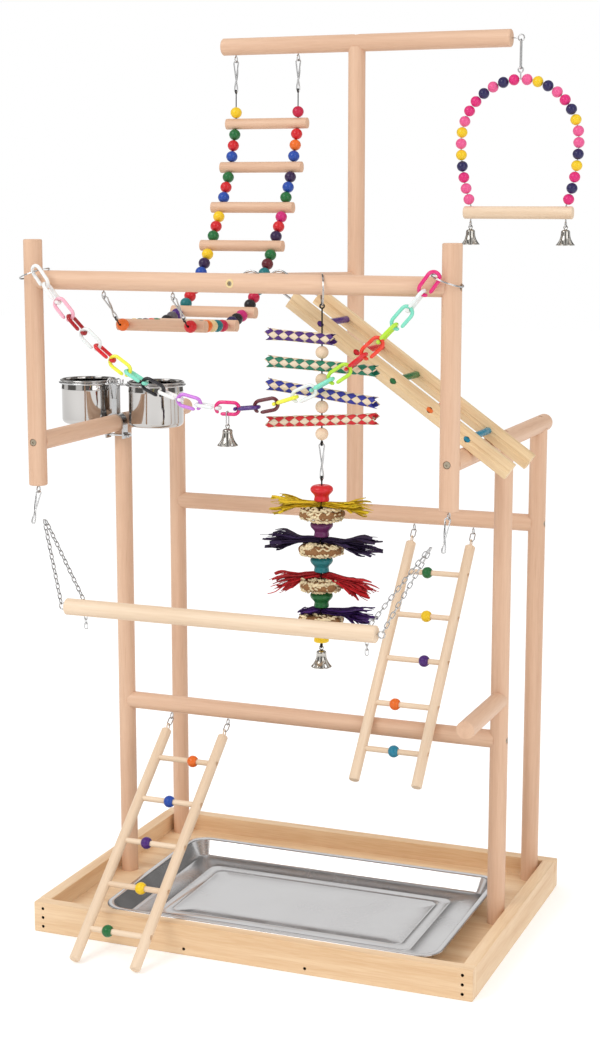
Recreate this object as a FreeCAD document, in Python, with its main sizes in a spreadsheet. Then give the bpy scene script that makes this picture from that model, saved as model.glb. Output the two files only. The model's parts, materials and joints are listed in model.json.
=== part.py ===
# Parrot play stand, in millimetres. +X is to the right, +Y to the back and +Z up. The origin is the
# middle of the base's underside, on the ground.
#
# A boxed pine base with a steel tray carries four posts. Two side perches lie on the posts and reach
# forward to two hanger posts, with a crossbar between them. A mast on the back crossbar carries the
# top perch. A swing, a beaded arch, a bead bridge, a link chain, a shredding toy, two hanging ladders
# and a ramp hang on this frame, and two cups are held by rings on the left side perch.
import FreeCAD, Part
import math
import os
import re

from FreeCAD import Placement, Rotation, Vector

X_AXIS = Vector(1, 0, 0)
Y_AXIS = Vector(0, 1, 0)
Z_AXIS = Vector(0, 0, 1)

# Each size by name: a plain number of millimetres, degrees or copies, and what it measures.
DRIVING_SIZES = [
    # frame
    ("dowel_diameter", 25.0, "dowels of the frame"),
    ("dowel_edge", 1.2, "chamfer on the free end of a dowel"),
    ("fit_gap", 0.1, "gap where a dowel's coped end meets the next dowel"),
    ("turn_gap", 0.4, "gap between pieces that move past each other"),
    ("saddle_wrap", 7.0, "how far a coped end reaches round the next dowel"),
    ("post_offset", 290.0, "middle of a post, from the middle of the stand"),
    ("front_post_place", 7.0, "front posts, along Y"),
    ("back_post_place", 191.5, "back posts, along Y"),
    ("side_perch_level", 709.0, "side perches' middle line"),
    ("side_perch_overhang", 32.0, "side perch behind the back post's middle"),
    ("hanger_place", -245.0, "hanger posts and front crossbar, along Y"),
    ("hanger_foot_level", 650.0, "lower end of the hanger posts"),
    ("hanger_head_level", 979.0, "upper end of the hanger posts"),
    ("front_crossbar_level", 926.0, "front crossbar's middle line"),
    ("back_crossbar_level", 564.0, "back crossbar's middle line"),
    ("lower_crossbar_level", 287.0, "lower crossbar's middle line"),
    ("stub_perch_level", 345.0, "short perch on the right front post"),
    ("stub_perch_length", 155.0, "short perch, from its post's skin"),
    ("mast_offset", 6.5, "mast, to the right of the middle"),
    ("top_perch_level", 1255.0, "top perch's middle line"),
    ("top_perch_length", 445.0, "top perch"),
    ("top_perch_offset", 16.0, "middle of the top perch, to the right"),
    ("centre_perch_drop", 14.0, "fall of the centre perch from front to back"),
    # base
    ("base_length", 650.0, "base along X"),
    ("base_depth", 450.0, "base along Y"),
    ("base_height", 44.0, "base boards"),
    ("board_thickness", 18.0, "base boards"),
    ("panel_thickness", 18.0, "floor panel"),
    ("nail_diameter", 2.4, "nails of the base"),
    ("nail_head_diameter", 4.4, "nail heads"),
    ("nail_length", 38.0, "nails of the base"),
    ("nail_inset", 14.0, "row of nails, from the front board's end"),
    ("floor_nail_offset", 90.0, "low nails in the front board, from the middle"),
    # tray
    ("tray_length", 500.0, "tray along X, over its rim"),
    ("tray_depth", 322.0, "tray along Y, over its rim"),
    ("tray_height", 24.0, "tray"),
    ("tray_sheet", 1.0, "steel of the tray"),
    ("tray_rim_width", 8.0, "flat rim of the tray"),
    ("tray_wall_lean", 14.0, "how far the tray's wall runs in from top to bottom"),
    ("tray_corner", 26.0, "corner of the tray, in plan"),
    ("tray_border_side", 63.0, "from the tray's mouth to its raised border, at the short walls"),
    ("tray_border_end", 46.0, "from the tray's mouth to its raised border, at the long walls"),
    ("tray_border_width", 5.0, "raised border pressed into the tray's floor"),
    ("tray_border_corner", 18.0, "radius of the raised border's corners"),
    ("tray_shift", 18.0, "middle of the tray, to the right"),
    ("tray_place", -42.0, "middle of the tray, along Y"),
    # screws and eyes
    ("screw_diameter", 4.0, "screws of the frame"),
    ("screw_length", 46.0, "screws under the head"),
    ("screw_head_diameter", 8.4, "screw heads"),
    ("screw_head_height", 2.6, "screw heads"),
    ("screw_drive", 3.2, "driver's hole in a screw head"),
    ("counterbore_diameter", 10.0, "hole that a screw head sits in"),
    ("counterbore_depth", 4.0, "hole that a screw head sits in, at the dowel's crown"),
    ("eye_radius", 4.4, "screw eye, to the middle of its wire"),
    ("eye_wire", 1.8, "wire of a screw eye"),
    ("eye_bite", 9.0, "screw eye's thread inside the wood"),
    # cups
    ("cup_diameter", 80.0, "cup's body"),
    ("cup_height", 64.0, "cup"),
    ("cup_sheet", 1.0, "steel of a cup"),
    ("cup_heel", 5.0, "slope round a cup's foot"),
    ("cup_rim_wire", 3.0, "rolled rim of a cup"),
    ("cup_spacing", 110.0, "between the two cups' middles"),
    ("cup_place", 6.0, "cups' middles, along Y"),
    ("cup_rim_level", 768.5, "middle of a cup's rolled rim"),
    ("cup_travel", 80.0, "how far a cup lifts out of its ring"),
    ("ring_wire", 3.0, "rings that hold the cups"),
    ("clamp_width", 15.0, "perch clamp, along the perch"),
    ("clamp_setback", 1.0, "between the clamp and the front post"),
    ("clamp_leg_end", 1.0, "legs of the clamp past its bolt"),
    ("clamp_bolt_end", 9.0, "bolt past the clamp, for its nut"),
    ("clamp_bolt_head", 3.0, "height of the clamp bolt's head"),
    ("cup_ring_play", 0.6, "between a cup and its ring"),
    ("wing_nut_length", 5.0, "wing nut along its bolt, and height of its wings"),
    ("wing_sheet", 1.6, "wings of the nut"),
    ("wing_nut_play", 0.1, "between the clamp and its nut"),
    ("clamp_sheet", 2.0, "strap of the perch clamp"),
    ("clamp_bolt", 4.0, "bolt of the perch clamp"),
    ("wing_span", 22.0, "wing nut"),
    # swing
    ("swing_length", 435.0, "swing perch"),
    ("swing_diameter", 22.0, "swing perch"),
    ("swing_place", -305.0, "swing perch at rest, along Y, where it leans on the hanging toy"),
    ("swing_level", 500.0, "swing perch at rest"),
    ("swing_tail_inset", 20.0, "free chain ends behind the swing perch, from its ends"),
    ("swing_tail", 34.0, "length of chain that hangs free there"),
    ("small_link_length", 10.0, "small chain link"),
    ("small_link_width", 6.0, "small chain link"),
    ("small_link_wire", 1.3, "small chain link"),
    ("snap_length", 42.0, "snap hook"),
    ("snap_width", 9.0, "snap hook"),
    ("snap_wire", 2.0, "snap hook"),
    # arch swing
    ("arch_bead", 16.0, "beads of the arch"),
    ("arch_bead_count", 14, "beads on each side of the arch"),
    ("arch_radius", 86.0, "round top of the arch, to the middle of its wire"),
    ("arch_perch_level", 1012.0, "arch perch's middle line"),
    ("arch_perch_length", 160.0, "arch perch"),
    ("arch_perch_diameter", 18.0, "arch perch"),
    ("arch_foot_offset", 70.0, "wire's ends in the arch perch, from its middle"),
    ("arch_eye_reach", 14.0, "hanging eye, beyond the top perch's end"),
    ("arch_ring_radius", 3.6, "rings bent at the arch's crown and feet, to the middle of the wire"),
    ("string_wire", 2.0, "wires that carry beads"),
    ("bore_gap", 0.5, "between a wire and a bead's bore, all round"),
    ("hang_gap", 0.3, "play where one hanging loop lies in another"),
    ("string_loop_radius", 2.6, "loops tied in strings, to the middle of the string"),
    ("toy_knot", 5.0, "knot in the lower cord, above its first knob"),
    # bells
    ("bell_mouth", 28.0, "bell's mouth"),
    ("bell_crown", 12.0, "bell's top"),
    ("bell_shoulder", 2.0, "height of a bell's round shoulder"),
    ("bell_flare", 1.5, "how far a bell widens from its shoulder to its waist"),
    ("clapper_rise", 2.4, "clapper's middle above the bell's mouth"),
    ("clapper_rod", 1.6, "rod that holds a clapper"),
    ("bell_height", 22.0, "bell"),
    ("bell_sheet", 1.0, "metal of a bell"),
    ("clapper_diameter", 6.0, "clapper"),
    # link chain
    ("link_count", 25, "links of the coloured chain"),
    ("link_wire", 5.0, "thickness of a coloured link"),
    ("link_width", 20.0, "coloured link, across"),
    ("link_gap", 0.4, "play between two coloured links"),
    ("chain_lowest_level", 768.0, "lowest part of the coloured chain's middle line"),
    ("key_ring_radius", 21.0, "ring round a hanger post, to the middle of its wire"),
    ("key_ring_wire", 2.0, "ring round a hanger post"),
    ("key_ring_tilt", 20.0, "ring round a hanger post, degrees from level"),
    ("key_ring_rise", 8.0, "ring round a hanger post, above the front crossbar's middle line"),
    ("key_ring_pull", 4.5, "how far the chain pulls the ring off the post's middle, both ways"),
    ("chain_end_turn", 20.0, "how far the first and last link turn to face the ring's wire, degrees"),
    ("chain_hanger_length", 20.0, "wire link between the coloured chain and its bell"),
    # bead bridge
    ("bridge_offset", -135.5, "middle of the bead bridge, along X"),
    ("bridge_string_spacing", 100.0, "between the bridge's two strings"),
    ("bridge_string", 1.6, "strings of the bead bridge"),
    ("bridge_rung_diameter", 16.0, "rungs of the bead bridge"),
    ("bridge_rung_length", 130.0, "rungs of the bead bridge"),
    ("bridge_bead", 17.2, "beads of the bead bridge"),
    ("bridge_top_level", 1142.0, "first rung of the bead bridge"),
    # hanging toy
    ("toy_offset", 121.0, "hanging toy, along X"),
    ("toy_ring_radius", 20.0, "ring round the front crossbar, to the middle of its wire"),
    ("toy_ring_turn", 25.0, "that ring, degrees from square to the crossbar"),
    ("toy_tube_diameter", 16.0, "woven tubes"),
    ("toy_tube_length", 152.0, "woven tubes"),
    ("toy_short_tube_length", 95.0, "topmost woven tube"),
    ("toy_ball", 16.8, "natural wood balls"),
    ("toy_pitch", 17.2, "from a tube's middle to the next ball's middle"),
    ("toy_top_level", 859.0, "topmost woven tube"),
    ("toy_knob_diameter", 32.0, "turned knobs"),
    ("toy_knob_height", 21.6, "turned knobs"),
    ("raffia_gap", 8.0, "height left for a raffia bundle between knob and loofah"),
    ("loofah_diameter", 60.0, "loofah slices"),
    ("loofah_height", 16.0, "loofah slices"),
    ("toy_set_count", 4, "sets of knob, raffia and loofah"),
    # ladders
    ("rail_diameter", 15.0, "ladder rails"),
    ("rail_length", 385.0, "ladder rails"),
    ("rail_spacing", 92.0, "between a ladder's rails"),
    ("rung_diameter", 8.0, "ladder rungs"),
    ("rung_pitch", 71.6, "between ladder rungs"),
    ("first_rung_inset", 49.0, "first rung, from the rails' top"),
    ("ladder_rung_count", 5, "rungs of a ladder"),
    ("ladder_bead", 17.5, "loose bead on a ladder rung"),
    ("ladder_link_length", 16.0, "link between a ladder's eye and the frame's eye"),
    ("ladder_link_width", 8.5, "link between a ladder's eye and the frame's eye"),
    ("ladder_link_wire", 1.6, "link between a ladder's eye and the frame's eye"),
    ("low_ladder_offset", -170.0, "middle of the low ladder, along X"),
    ("mid_ladder_offset", 148.0, "middle of the upper ladder, along X"),
    ("rest_gap", 0.5, "left where a ladder or the ramp rests on a dowel or the ground"),
    # ramp
    ("ramp_rail_height", 22.0, "ramp rails"),
    ("ramp_rail_thickness", 12.0, "ramp rails"),
    ("ramp_length", 362.0, "ramp rails"),
    ("ramp_slope", 35.3, "ramp rails, degrees from level"),
    ("ramp_head_offset", 56.5, "upper end of the ramp rails, along X"),
    ("ramp_front_place", -188.0, "front ramp rail, along Y"),
    ("ramp_back_place", -92.0, "back ramp rail, along Y"),
    ("ramp_rung_diameter", 9.0, "ramp rungs"),
    ("ramp_rung_pitch", 60.5, "between ramp rungs"),
    ("ramp_first_rung", 52.0, "first ramp rung, from the rails' upper end"),
    ("ramp_hook_play", 0.6, "between the ramp's hooks and the dowel under them"),
    ("ramp_rung_count", 5, "ramp rungs"),
    ("ramp_hook_wire", 3.0, "hooks of the ramp"),
]

doc = FreeCAD.newDocument("parrot_play_stand")
sheet = doc.addObject("Spreadsheet::Sheet", "Sizes")
for row, (name, value, meaning) in enumerate(DRIVING_SIZES, start=1):
    sheet.set("A%d" % row, meaning)
    sheet.set("B%d" % row, str(value))
    sheet.setAlias("B%d" % row, name)
doc.recompute()
SIZE = {name: float(sheet.get(name)) for name, _, _ in DRIVING_SIZES}

nodes = {}


# ---------------------------------------------------------------- helpers


def cells(text):
    """The expression with each size's name turned into a reference to its cell."""
    return re.sub(r"[a-z_]+", lambda word: "Sizes." + word[0] if word[0] in SIZE else word[0], str(text))


def bind(item, **expressions):
    for property_name, text in expressions.items():
        item.setExpression(property_name, cells(text))


def place(item, x, y, z):
    for letter, text in zip("xyz", (x, y, z)):
        item.setExpression(".Placement.Base." + letter, cells(text))


ALONG = {"x": Rotation(Y_AXIS, 90), "y": Rotation(X_AXIS, -90), "z": Rotation()}


def rod(name, diameter, length, x, y, z, along="z"):
    """A dowel that starts at a point and runs along X, Y or Z."""
    item = doc.addObject("Part::Cylinder", name)
    bind(item, Radius="(%s) / 2" % diameter, Height=length)
    item.Placement = Placement(Vector(), ALONG[along])
    place(item, x, y, z)
    return item


def block(name, length, width, height, x, y, z):
    """A board whose lowest corner is at a point."""
    item = doc.addObject("Part::Box", name)
    bind(item, Length=length, Width=width, Height=height)
    place(item, x, y, z)
    return item


def eased(item, start=True, end=True):
    """The rod with a small chamfer on its free ends."""
    softened = doc.addObject("Part::Chamfer", item.Name + "_eased")
    softened.Base = item
    edge = SIZE["dowel_edge"]
    start_circle, end_circle = 2, 3
    chosen = [start_circle] * start + [end_circle] * end
    softened.Edges = [(circle, edge, edge) for circle in chosen]
    return softened


def cut(name, base, tools):
    """The base without the tools."""
    item = doc.addObject("Part::Cut", name)
    item.Base = base
    item.Tool = tools[0] if len(tools) == 1 else group(name + "_tools", tools)
    return item


def fuse(name, parts):
    item = doc.addObject("Part::MultiFuse", name)
    item.Shapes = parts
    return item


def group(name, parts):
    """Separate solids that share one object."""
    item = doc.addObject("Part::Compound", name)
    item.Links = parts
    return item


def computed(name, shape, placement=None):
    """An object whose shape is worked out here from the sizes."""
    item = doc.addObject("Part::Feature", name)
    item.Shape = shape
    if placement:
        item.Placement = placement
    return item


def node(label, item):
    """Names the object as one of the stand's pieces."""
    item.Label = label
    nodes[label] = item
    return item


def moved(shape, placement):
    copy = shape.copy()
    copy.Placement = placement.multiply(copy.Placement)
    return copy


def disc(centre, direction, radius):
    return Part.Wire([Part.Circle(centre, direction, radius).toShape()])


def tube(points, wire):
    """A round wire along straight edges and arcs: a point is a corner, three in a list are an arc."""
    edges = []
    last = None
    for entry in points:
        if isinstance(entry, list):
            edges.append(Part.Arc(*entry).toShape())
            last = entry[2]
            continue
        if last is not None:
            edges.append(Part.LineSegment(last, entry).toShape())
        last = entry
    spine = Part.Wire(edges)
    first = edges[0]
    start = first.valueAt(first.FirstParameter)
    heading = first.tangentAt(first.FirstParameter)
    return spine.makePipeShell([disc(start, heading, wire / 2)], True, False)


def oval_link(length, width, wire):
    """A chain link in the XZ plane with its long way along Z."""
    bend = (width - wire) / 2
    straight = (length - width) / 2
    top = [Vector(bend, 0, straight), Vector(0, 0, straight + bend), Vector(-bend, 0, straight)]
    foot = [Vector(-bend, 0, -straight), Vector(0, 0, -straight - bend), Vector(bend, 0, -straight)]
    return tube([Vector(bend, 0, -straight), Vector(bend, 0, straight), top, foot[0], foot], wire)


def turned(profile):
    """A solid of revolution about Z from (radius, height) corners, closed along the axis."""
    corners = [Vector(radius, 0, height) for radius, height in profile]
    face = Part.Face(Part.makePolygon(corners + corners[:1]))
    return face.revolve(Vector(), Z_AXIS, 360)


def aim(point, direction, roll=0.0):
    """A placement that carries local Z onto the direction, at the point, rolled about it."""
    return Placement(point, Rotation(Z_AXIS, direction).multiply(Rotation(Z_AXIS, roll)))


def facing(point, side, up):
    """A placement with local X along side and local Z as near to up as that allows."""
    return Placement(point, Rotation(side, Vector(), up, "XZY"))


def eye_screw():
    """A screw eye: its ring stands round the origin in the YZ plane, and its thread points up."""
    radius = SIZE["eye_radius"]
    wire = SIZE["eye_wire"]
    ring = Part.makeTorus(radius, wire / 2, Vector(), X_AXIS)
    shank = Part.makeCylinder(wire / 2, EYE_DROP - radius + SIZE["eye_bite"], Vector(0, 0, radius))
    return ring.fuse(shank).removeSplitter()


def snap_hook():
    """A snap hook of bent wire that hangs from the origin: a long loop with a gate and an end eye."""
    length = SIZE["snap_length"]
    wire = SIZE["snap_wire"]
    loop = oval_link(length, SIZE["snap_width"], wire)
    loop.translate(Vector(0, 0, wire / 2 - length / 2))
    neck_level = wire / 2 - length
    eye = Part.makeTorus(SIZE["eye_radius"] - wire / 2, wire / 2, Vector(0, 0, neck_level), Y_AXIS)
    return loop.fuse(eye).removeSplitter()


def snap_foot():
    """How far the middle of the end eye's lowest wire lies below the middle of the hook's top wire."""
    return SIZE["snap_length"] - SIZE["snap_wire"] / 2 + SIZE["eye_radius"] - SIZE["snap_wire"] / 2


def chain_run(start, end, across, same_ends=False):
    """Small links, each a quarter turn from the last, and the way that the last one's end wire runs.
    The first link's upper wire is at the start and runs as nearly across as it can. The last one's
    lower wire is at the end, and runs the same way if same_ends is set."""
    link = oval_link(SIZE["small_link_length"], SIZE["small_link_width"], SIZE["small_link_wire"])
    run = end - start
    heading = run * (1 / run.Length)
    half = (SIZE["small_link_length"] - SIZE["small_link_wire"]) / 2
    steps = max(1, math.ceil((run.Length - 2 * half) / SMALL_PITCH))
    if same_ends and steps % 2:
        steps += 1
    local = Rotation(Z_AXIS, heading).inverted().multVec(across)
    roll = math.degrees(math.atan2(local.y, local.x))
    pitch = (run.Length - 2 * half) / steps
    links = []
    for index in range(steps + 1):
        spot = aim(start + heading * (half + index * pitch), heading, roll + 90 * (index % 2))
        links.append(moved(link, spot))
    return links, spot.Rotation.multVec(X_AXIS)


def bell_shapes():
    """A flared bell whose hanging loop is centred on the origin, and its clapper on a thin rod."""
    mouth = SIZE["bell_mouth"] / 2
    crown = SIZE["bell_crown"] / 2
    height = SIZE["bell_height"]
    sheet_metal = SIZE["bell_sheet"]
    top = -BELL_LOOP_RADIUS
    shoulder = top - SIZE["bell_shoulder"]
    waist, waist_level = crown + SIZE["bell_flare"], top - height * BELL_WAIST_SHARE
    slant = 1.6 * sheet_metal
    outer = [(0, top), (crown, shoulder), (waist, waist_level), (mouth, top - height)]
    inner = [(mouth - slant, top - height), (waist - sheet_metal, waist_level)]
    inner += [(crown - sheet_metal, shoulder - sheet_metal), (0, top - slant)]
    body = turned(outer + inner)
    loop = Part.makeTorus(BELL_LOOP_RADIUS, BELL_LOOP_WIRE / 2, Vector(), Y_AXIS)
    clapper_middle = Vector(0, 0, top - height + SIZE["clapper_rise"])
    rod_radius = SIZE["clapper_rod"] / 2
    stem = Part.makeCylinder(rod_radius, height - SIZE["clapper_rise"] - 2 * rod_radius, clapper_middle)
    clapper = Part.makeSphere(SIZE["clapper_diameter"] / 2, clapper_middle)
    return body.fuse([loop, stem, clapper]).removeSplitter()


# ---------------------------------------------------------------- derived places

EYE_DROP = SIZE["eye_radius"] + SIZE["eye_wire"] / 2 + 1.0
SMALL_PITCH = SIZE["small_link_length"] - 2 * SIZE["small_link_wire"] - 0.15
BELL_LOOP_RADIUS = SIZE["string_loop_radius"]
BELL_LOOP_WIRE = 1.6
BELL_WAIST_SHARE = 0.55
DOWEL_RADIUS = SIZE["dowel_diameter"] / 2


# ---------------------------------------------------------------- frame


def crossing(name, x, y, z, along, reach="900"):
    """The room that a coped end leaves for the dowel that it meets."""
    ends = {"x": x, "y": y, "z": z}
    ends[along] = "%s - %s / 2" % (ends[along], reach)
    return rod(name, "dowel_diameter + 2 * fit_gap", reach, ends["x"], ends["y"], ends["z"], along)


SCREWS = []


def screw(x, y, z, along, side):
    """A sunk screw whose head is at the crown of the dowel centred on the point, on its plus or
    minus side along an axis. Returns the hole that its head sits in."""
    index = len(SCREWS)
    seat = "(dowel_diameter / 2 - counterbore_depth)"
    centre = {"x": x, "y": y, "z": z}
    sign = "+" if side > 0 else "-"

    def piece(kind, diameter, low, high):
        ends = dict(centre)
        start = low if side > 0 else high
        ends[along] = "%s %s (%s)" % (centre[along], sign, start)
        label = "screw_%s_%d" % (kind, index)
        return rod(label, diameter, "(%s) - (%s)" % (high, low), ends["x"], ends["y"], ends["z"], along)

    head = piece("head", "screw_head_diameter", seat, seat + " + screw_head_height")
    shank = piece("shank", "screw_diameter", seat + " - screw_length", seat + " + screw_head_height / 2")
    drive = piece("drive", "screw_drive", seat + " + screw_head_height / 2", seat + " + screw_head_height * 2")
    SCREWS.append(cut("screw_%d" % index, fuse("screw_whole_%d" % index, [head, shank]), [drive]))
    return piece("hole", "counterbore_diameter", seat, seat + " + dowel_diameter")


def side_sign(side):
    return "-" if side == "left" else ""


def build_posts():
    for side in ("left", "right"):
        sign = side_sign(side)
        outward = -1 if side == "left" else 1
        x = sign + "post_offset"
        for row in ("front", "back"):
            y = row + "_post_place"
            name = "post_%s_%s" % (row, side)
            height = "side_perch_level - dowel_diameter / 2 + saddle_wrap - panel_thickness"
            column = rod(name + "_rod", "dowel_diameter", height, x, y, "panel_thickness")
            tools = [crossing(name + "_saddle", x, y, "side_perch_level", "y")]
            level = "lower_crossbar_level" if row == "front" else "back_crossbar_level"
            tools.append(screw(x, y, level, "x", outward))
            if (row, side) == ("front", "right"):
                tools.append(screw(x, y, "stub_perch_level", "y", 1))
            node(name, cut(name, column, tools))


def build_side_perches():
    for side in ("left", "right"):
        x = side_sign(side) + "post_offset"
        name = "side_perch_" + side
        start = "hanger_place + dowel_diameter / 2 - saddle_wrap"
        length = "back_post_place + side_perch_overhang - (%s)" % start
        bar = eased(rod(name + "_rod", "dowel_diameter", length, x, start, "side_perch_level", "y"), start=False)
        tools = [crossing(name + "_saddle", x, "hanger_place", "side_perch_level", "z")]
        for row in ("front", "back"):
            tools.append(screw(x, row + "_post_place", "side_perch_level", "z", 1))
        node(name, cut(name, bar, tools))


def build_hanger_posts():
    for side in ("left", "right"):
        x = side_sign(side) + "post_offset"
        outward = -1 if side == "left" else 1
        name = "hanger_post_" + side
        height = "hanger_head_level - hanger_foot_level"
        column = eased(rod(name + "_rod", "dowel_diameter", height, x, "hanger_place", "hanger_foot_level"))
        tools = [
            screw(x, "hanger_place", "side_perch_level", "y", -1),
            screw(x, "hanger_place", "front_crossbar_level", "x", outward),
        ]
        node(name, cut(name, column, tools))


def build_crossbars():
    places = {
        "front_crossbar": ("hanger_place", "front_crossbar_level"),
        "back_crossbar": ("back_post_place", "back_crossbar_level"),
        "lower_crossbar": ("front_post_place", "lower_crossbar_level"),
    }
    for name, (y, z) in places.items():
        start = "-post_offset + dowel_diameter / 2 - saddle_wrap"
        bar = rod(name + "_rod", "dowel_diameter", "-2 * (%s)" % start, start, y, z, "x")
        tools = [crossing(name + "_saddle_" + s, side_sign(s) + "post_offset", y, z, "z") for s in ("left", "right")]
        if name == "front_crossbar":
            tools.append(screw("0", y, z, "y", -1))
        if name == "back_crossbar":
            tools.append(screw("mast_offset", y, z, "z", -1))
        node(name, cut(name, bar, tools))


def build_stub_perch():
    x = "post_offset"
    inner_end = "front_post_place - dowel_diameter / 2 + saddle_wrap"
    start = "front_post_place - dowel_diameter / 2 - stub_perch_length"
    length = "(%s) - (%s)" % (inner_end, start)
    bar = eased(rod("stub_rod", "dowel_diameter", length, x, start, "stub_perch_level", "y"), end=False)
    node("stub_perch", cut("stub_perch", bar, [crossing("stub_saddle", x, "front_post_place", "stub_perch_level", "z")]))


def build_mast_and_top_perch():
    y = "back_post_place"
    start = "back_crossbar_level + dowel_diameter / 2 - saddle_wrap"
    height = "top_perch_level - dowel_diameter / 2 + saddle_wrap - (%s)" % start
    column = rod("mast_rod", "dowel_diameter", height, "mast_offset", y, start)
    tools = [crossing("mast_foot", "mast_offset", y, "back_crossbar_level", "x")]
    tools.append(crossing("mast_head", "mast_offset", y, "top_perch_level", "x"))
    tools.append(screw("mast_offset", y, "front_crossbar_level - centre_perch_drop", "y", 1))
    node("mast", cut("mast", column, tools))
    start = "top_perch_offset - top_perch_length / 2"
    bar = eased(rod("top_rod", "dowel_diameter", "top_perch_length", start, y, "top_perch_level", "x"))
    node("top_perch", cut("top_perch", bar, [screw("mast_offset", y, "top_perch_level", "z", 1)]))


def build_centre_perch():
    """The dowel that ties the mast to the middle of the front crossbar, falling a little to the back."""
    run = "(back_post_place - hanger_place)"
    bar = rod("centre_rod", "dowel_diameter", "sqrt(%s ^ 2 + centre_perch_drop ^ 2)" % run,
              "0", "hanger_place", "front_crossbar_level", "y")
    bar.Placement = Placement(Vector(), Rotation(Vector(-1, 0, 0), 90))
    bar.setExpression(".Placement.Rotation.Angle", cells("90 deg + atan(centre_perch_drop / %s)" % run))
    tools = [crossing("centre_front", "0", "hanger_place", "front_crossbar_level", "x")]
    tools.append(crossing("centre_back", "mast_offset", "back_post_place", "front_crossbar_level", "z"))
    reach = "2 * dowel_diameter"
    tools.append(block("centre_front_end", reach, reach, reach, "-dowel_diameter",
                       "hanger_place + dowel_diameter / 2 - saddle_wrap - %s" % reach,
                       "front_crossbar_level - dowel_diameter"))
    tools.append(block("centre_back_end", reach, reach, reach, "-dowel_diameter",
                       "back_post_place - dowel_diameter / 2 + saddle_wrap",
                       "front_crossbar_level - centre_perch_drop - dowel_diameter"))
    node("centre_perch", cut("centre_perch", bar, tools))


def build_frame():
    build_posts()
    build_side_perches()
    build_hanger_posts()
    build_crossbars()
    build_stub_perch()
    build_mast_and_top_perch()
    build_centre_perch()


# ---------------------------------------------------------------- base and tray


def build_base():
    half_length = "base_length / 2"
    half_depth = "base_depth / 2"
    for name, y in (("front", "-%s" % half_depth), ("back", "%s - board_thickness" % half_depth)):
        board = block("base_board_" + name, "base_length", "board_thickness", "base_height", "-" + half_length, y, "0")
        node("base_board_" + name, board)
    for name, x in (("left", "-%s" % half_length), ("right", "%s - board_thickness" % half_length)):
        board = block("base_board_" + name, "board_thickness", "base_depth - 2 * board_thickness", "base_height",
                      x, "board_thickness - " + half_depth, "0")
        node("base_board_" + name, board)
    inner_length = "base_length - 2 * board_thickness"
    inner_depth = "base_depth - 2 * board_thickness"
    panel = block("base_panel_board", inner_length, inner_depth, "panel_thickness",
                  "board_thickness - " + half_length, "board_thickness - " + half_depth, "0")
    sinks = []
    for side in ("left", "right"):
        for row in ("front", "back"):
            x = side_sign(side) + "post_offset"
            y = row + "_post_place"
            tag = "%s_%s" % (row, side)
            sinks.append(rod("sink_" + tag, "counterbore_diameter", "counterbore_depth", x, y, "0"))
            head = rod("foot_head_" + tag, "screw_head_diameter", "screw_head_height", x, y,
                       "counterbore_depth - screw_head_height")
            shank = rod("foot_shank_" + tag, "screw_diameter", "screw_length", x, y, "counterbore_depth")
            SCREWS.append(fuse("foot_screw_" + tag, [head, shank]))
    node("base_panel", cut("base_panel", panel, sinks))


def build_nails():
    """Three nails at each end of the front and back boards, and low ones into the panel's edge."""
    spots = []
    for end in ("-", ""):
        for share in ("0.2", "0.5", "0.8"):
            spots.append((end + "(base_length / 2 - nail_inset)", "base_height * " + share))
    spots += [("-floor_nail_offset", "panel_thickness / 2"), ("floor_nail_offset", "panel_thickness / 2")]
    nails = []
    for index, (x, z) in enumerate(spots):
        for side in ("front", "back"):
            tag = "%s_%d" % (side, index)
            start = "-base_depth / 2" if side == "front" else "base_depth / 2 - nail_length"
            head_start = "-base_depth / 2" if side == "front" else "base_depth / 2 - nail_diameter / 2"
            shank = rod("nail_shank_" + tag, "nail_diameter", "nail_length", x, start, z, "y")
            head = rod("nail_head_" + tag, "nail_head_diameter", "nail_diameter / 2", x, head_start, z, "y")
            nails.append(fuse("nail_" + tag, [shank, head]))
    node("base_nails", group("base_nails", nails))


def rounded_outline(length, depth, corner, level):
    """A rectangle with round corners in plan, centred on the Z axis."""
    half_x = length / 2
    half_y = depth / 2
    lean = corner * (1 - math.sqrt(0.5))
    edges = []
    corners = [(1, 1), (-1, 1), (-1, -1), (1, -1)]
    for index, (sx, sy) in enumerate(corners):
        on_side = Vector(sx * half_x, sy * (half_y - corner), level)
        on_end = Vector(sx * (half_x - corner), sy * half_y, level)
        middle = Vector(sx * (half_x - lean), sy * (half_y - lean), level)
        ends = [on_side, on_end] if index % 2 == 0 else [on_end, on_side]
        edges.append((ends[0], middle, ends[1]))
    wires = []
    for index, (start, middle, end) in enumerate(edges):
        wires.append(Part.Arc(start, middle, end).toShape())
        wires.append(Part.LineSegment(end, edges[(index + 1) % 4][0]).toShape())
    return Part.Wire(wires)


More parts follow.
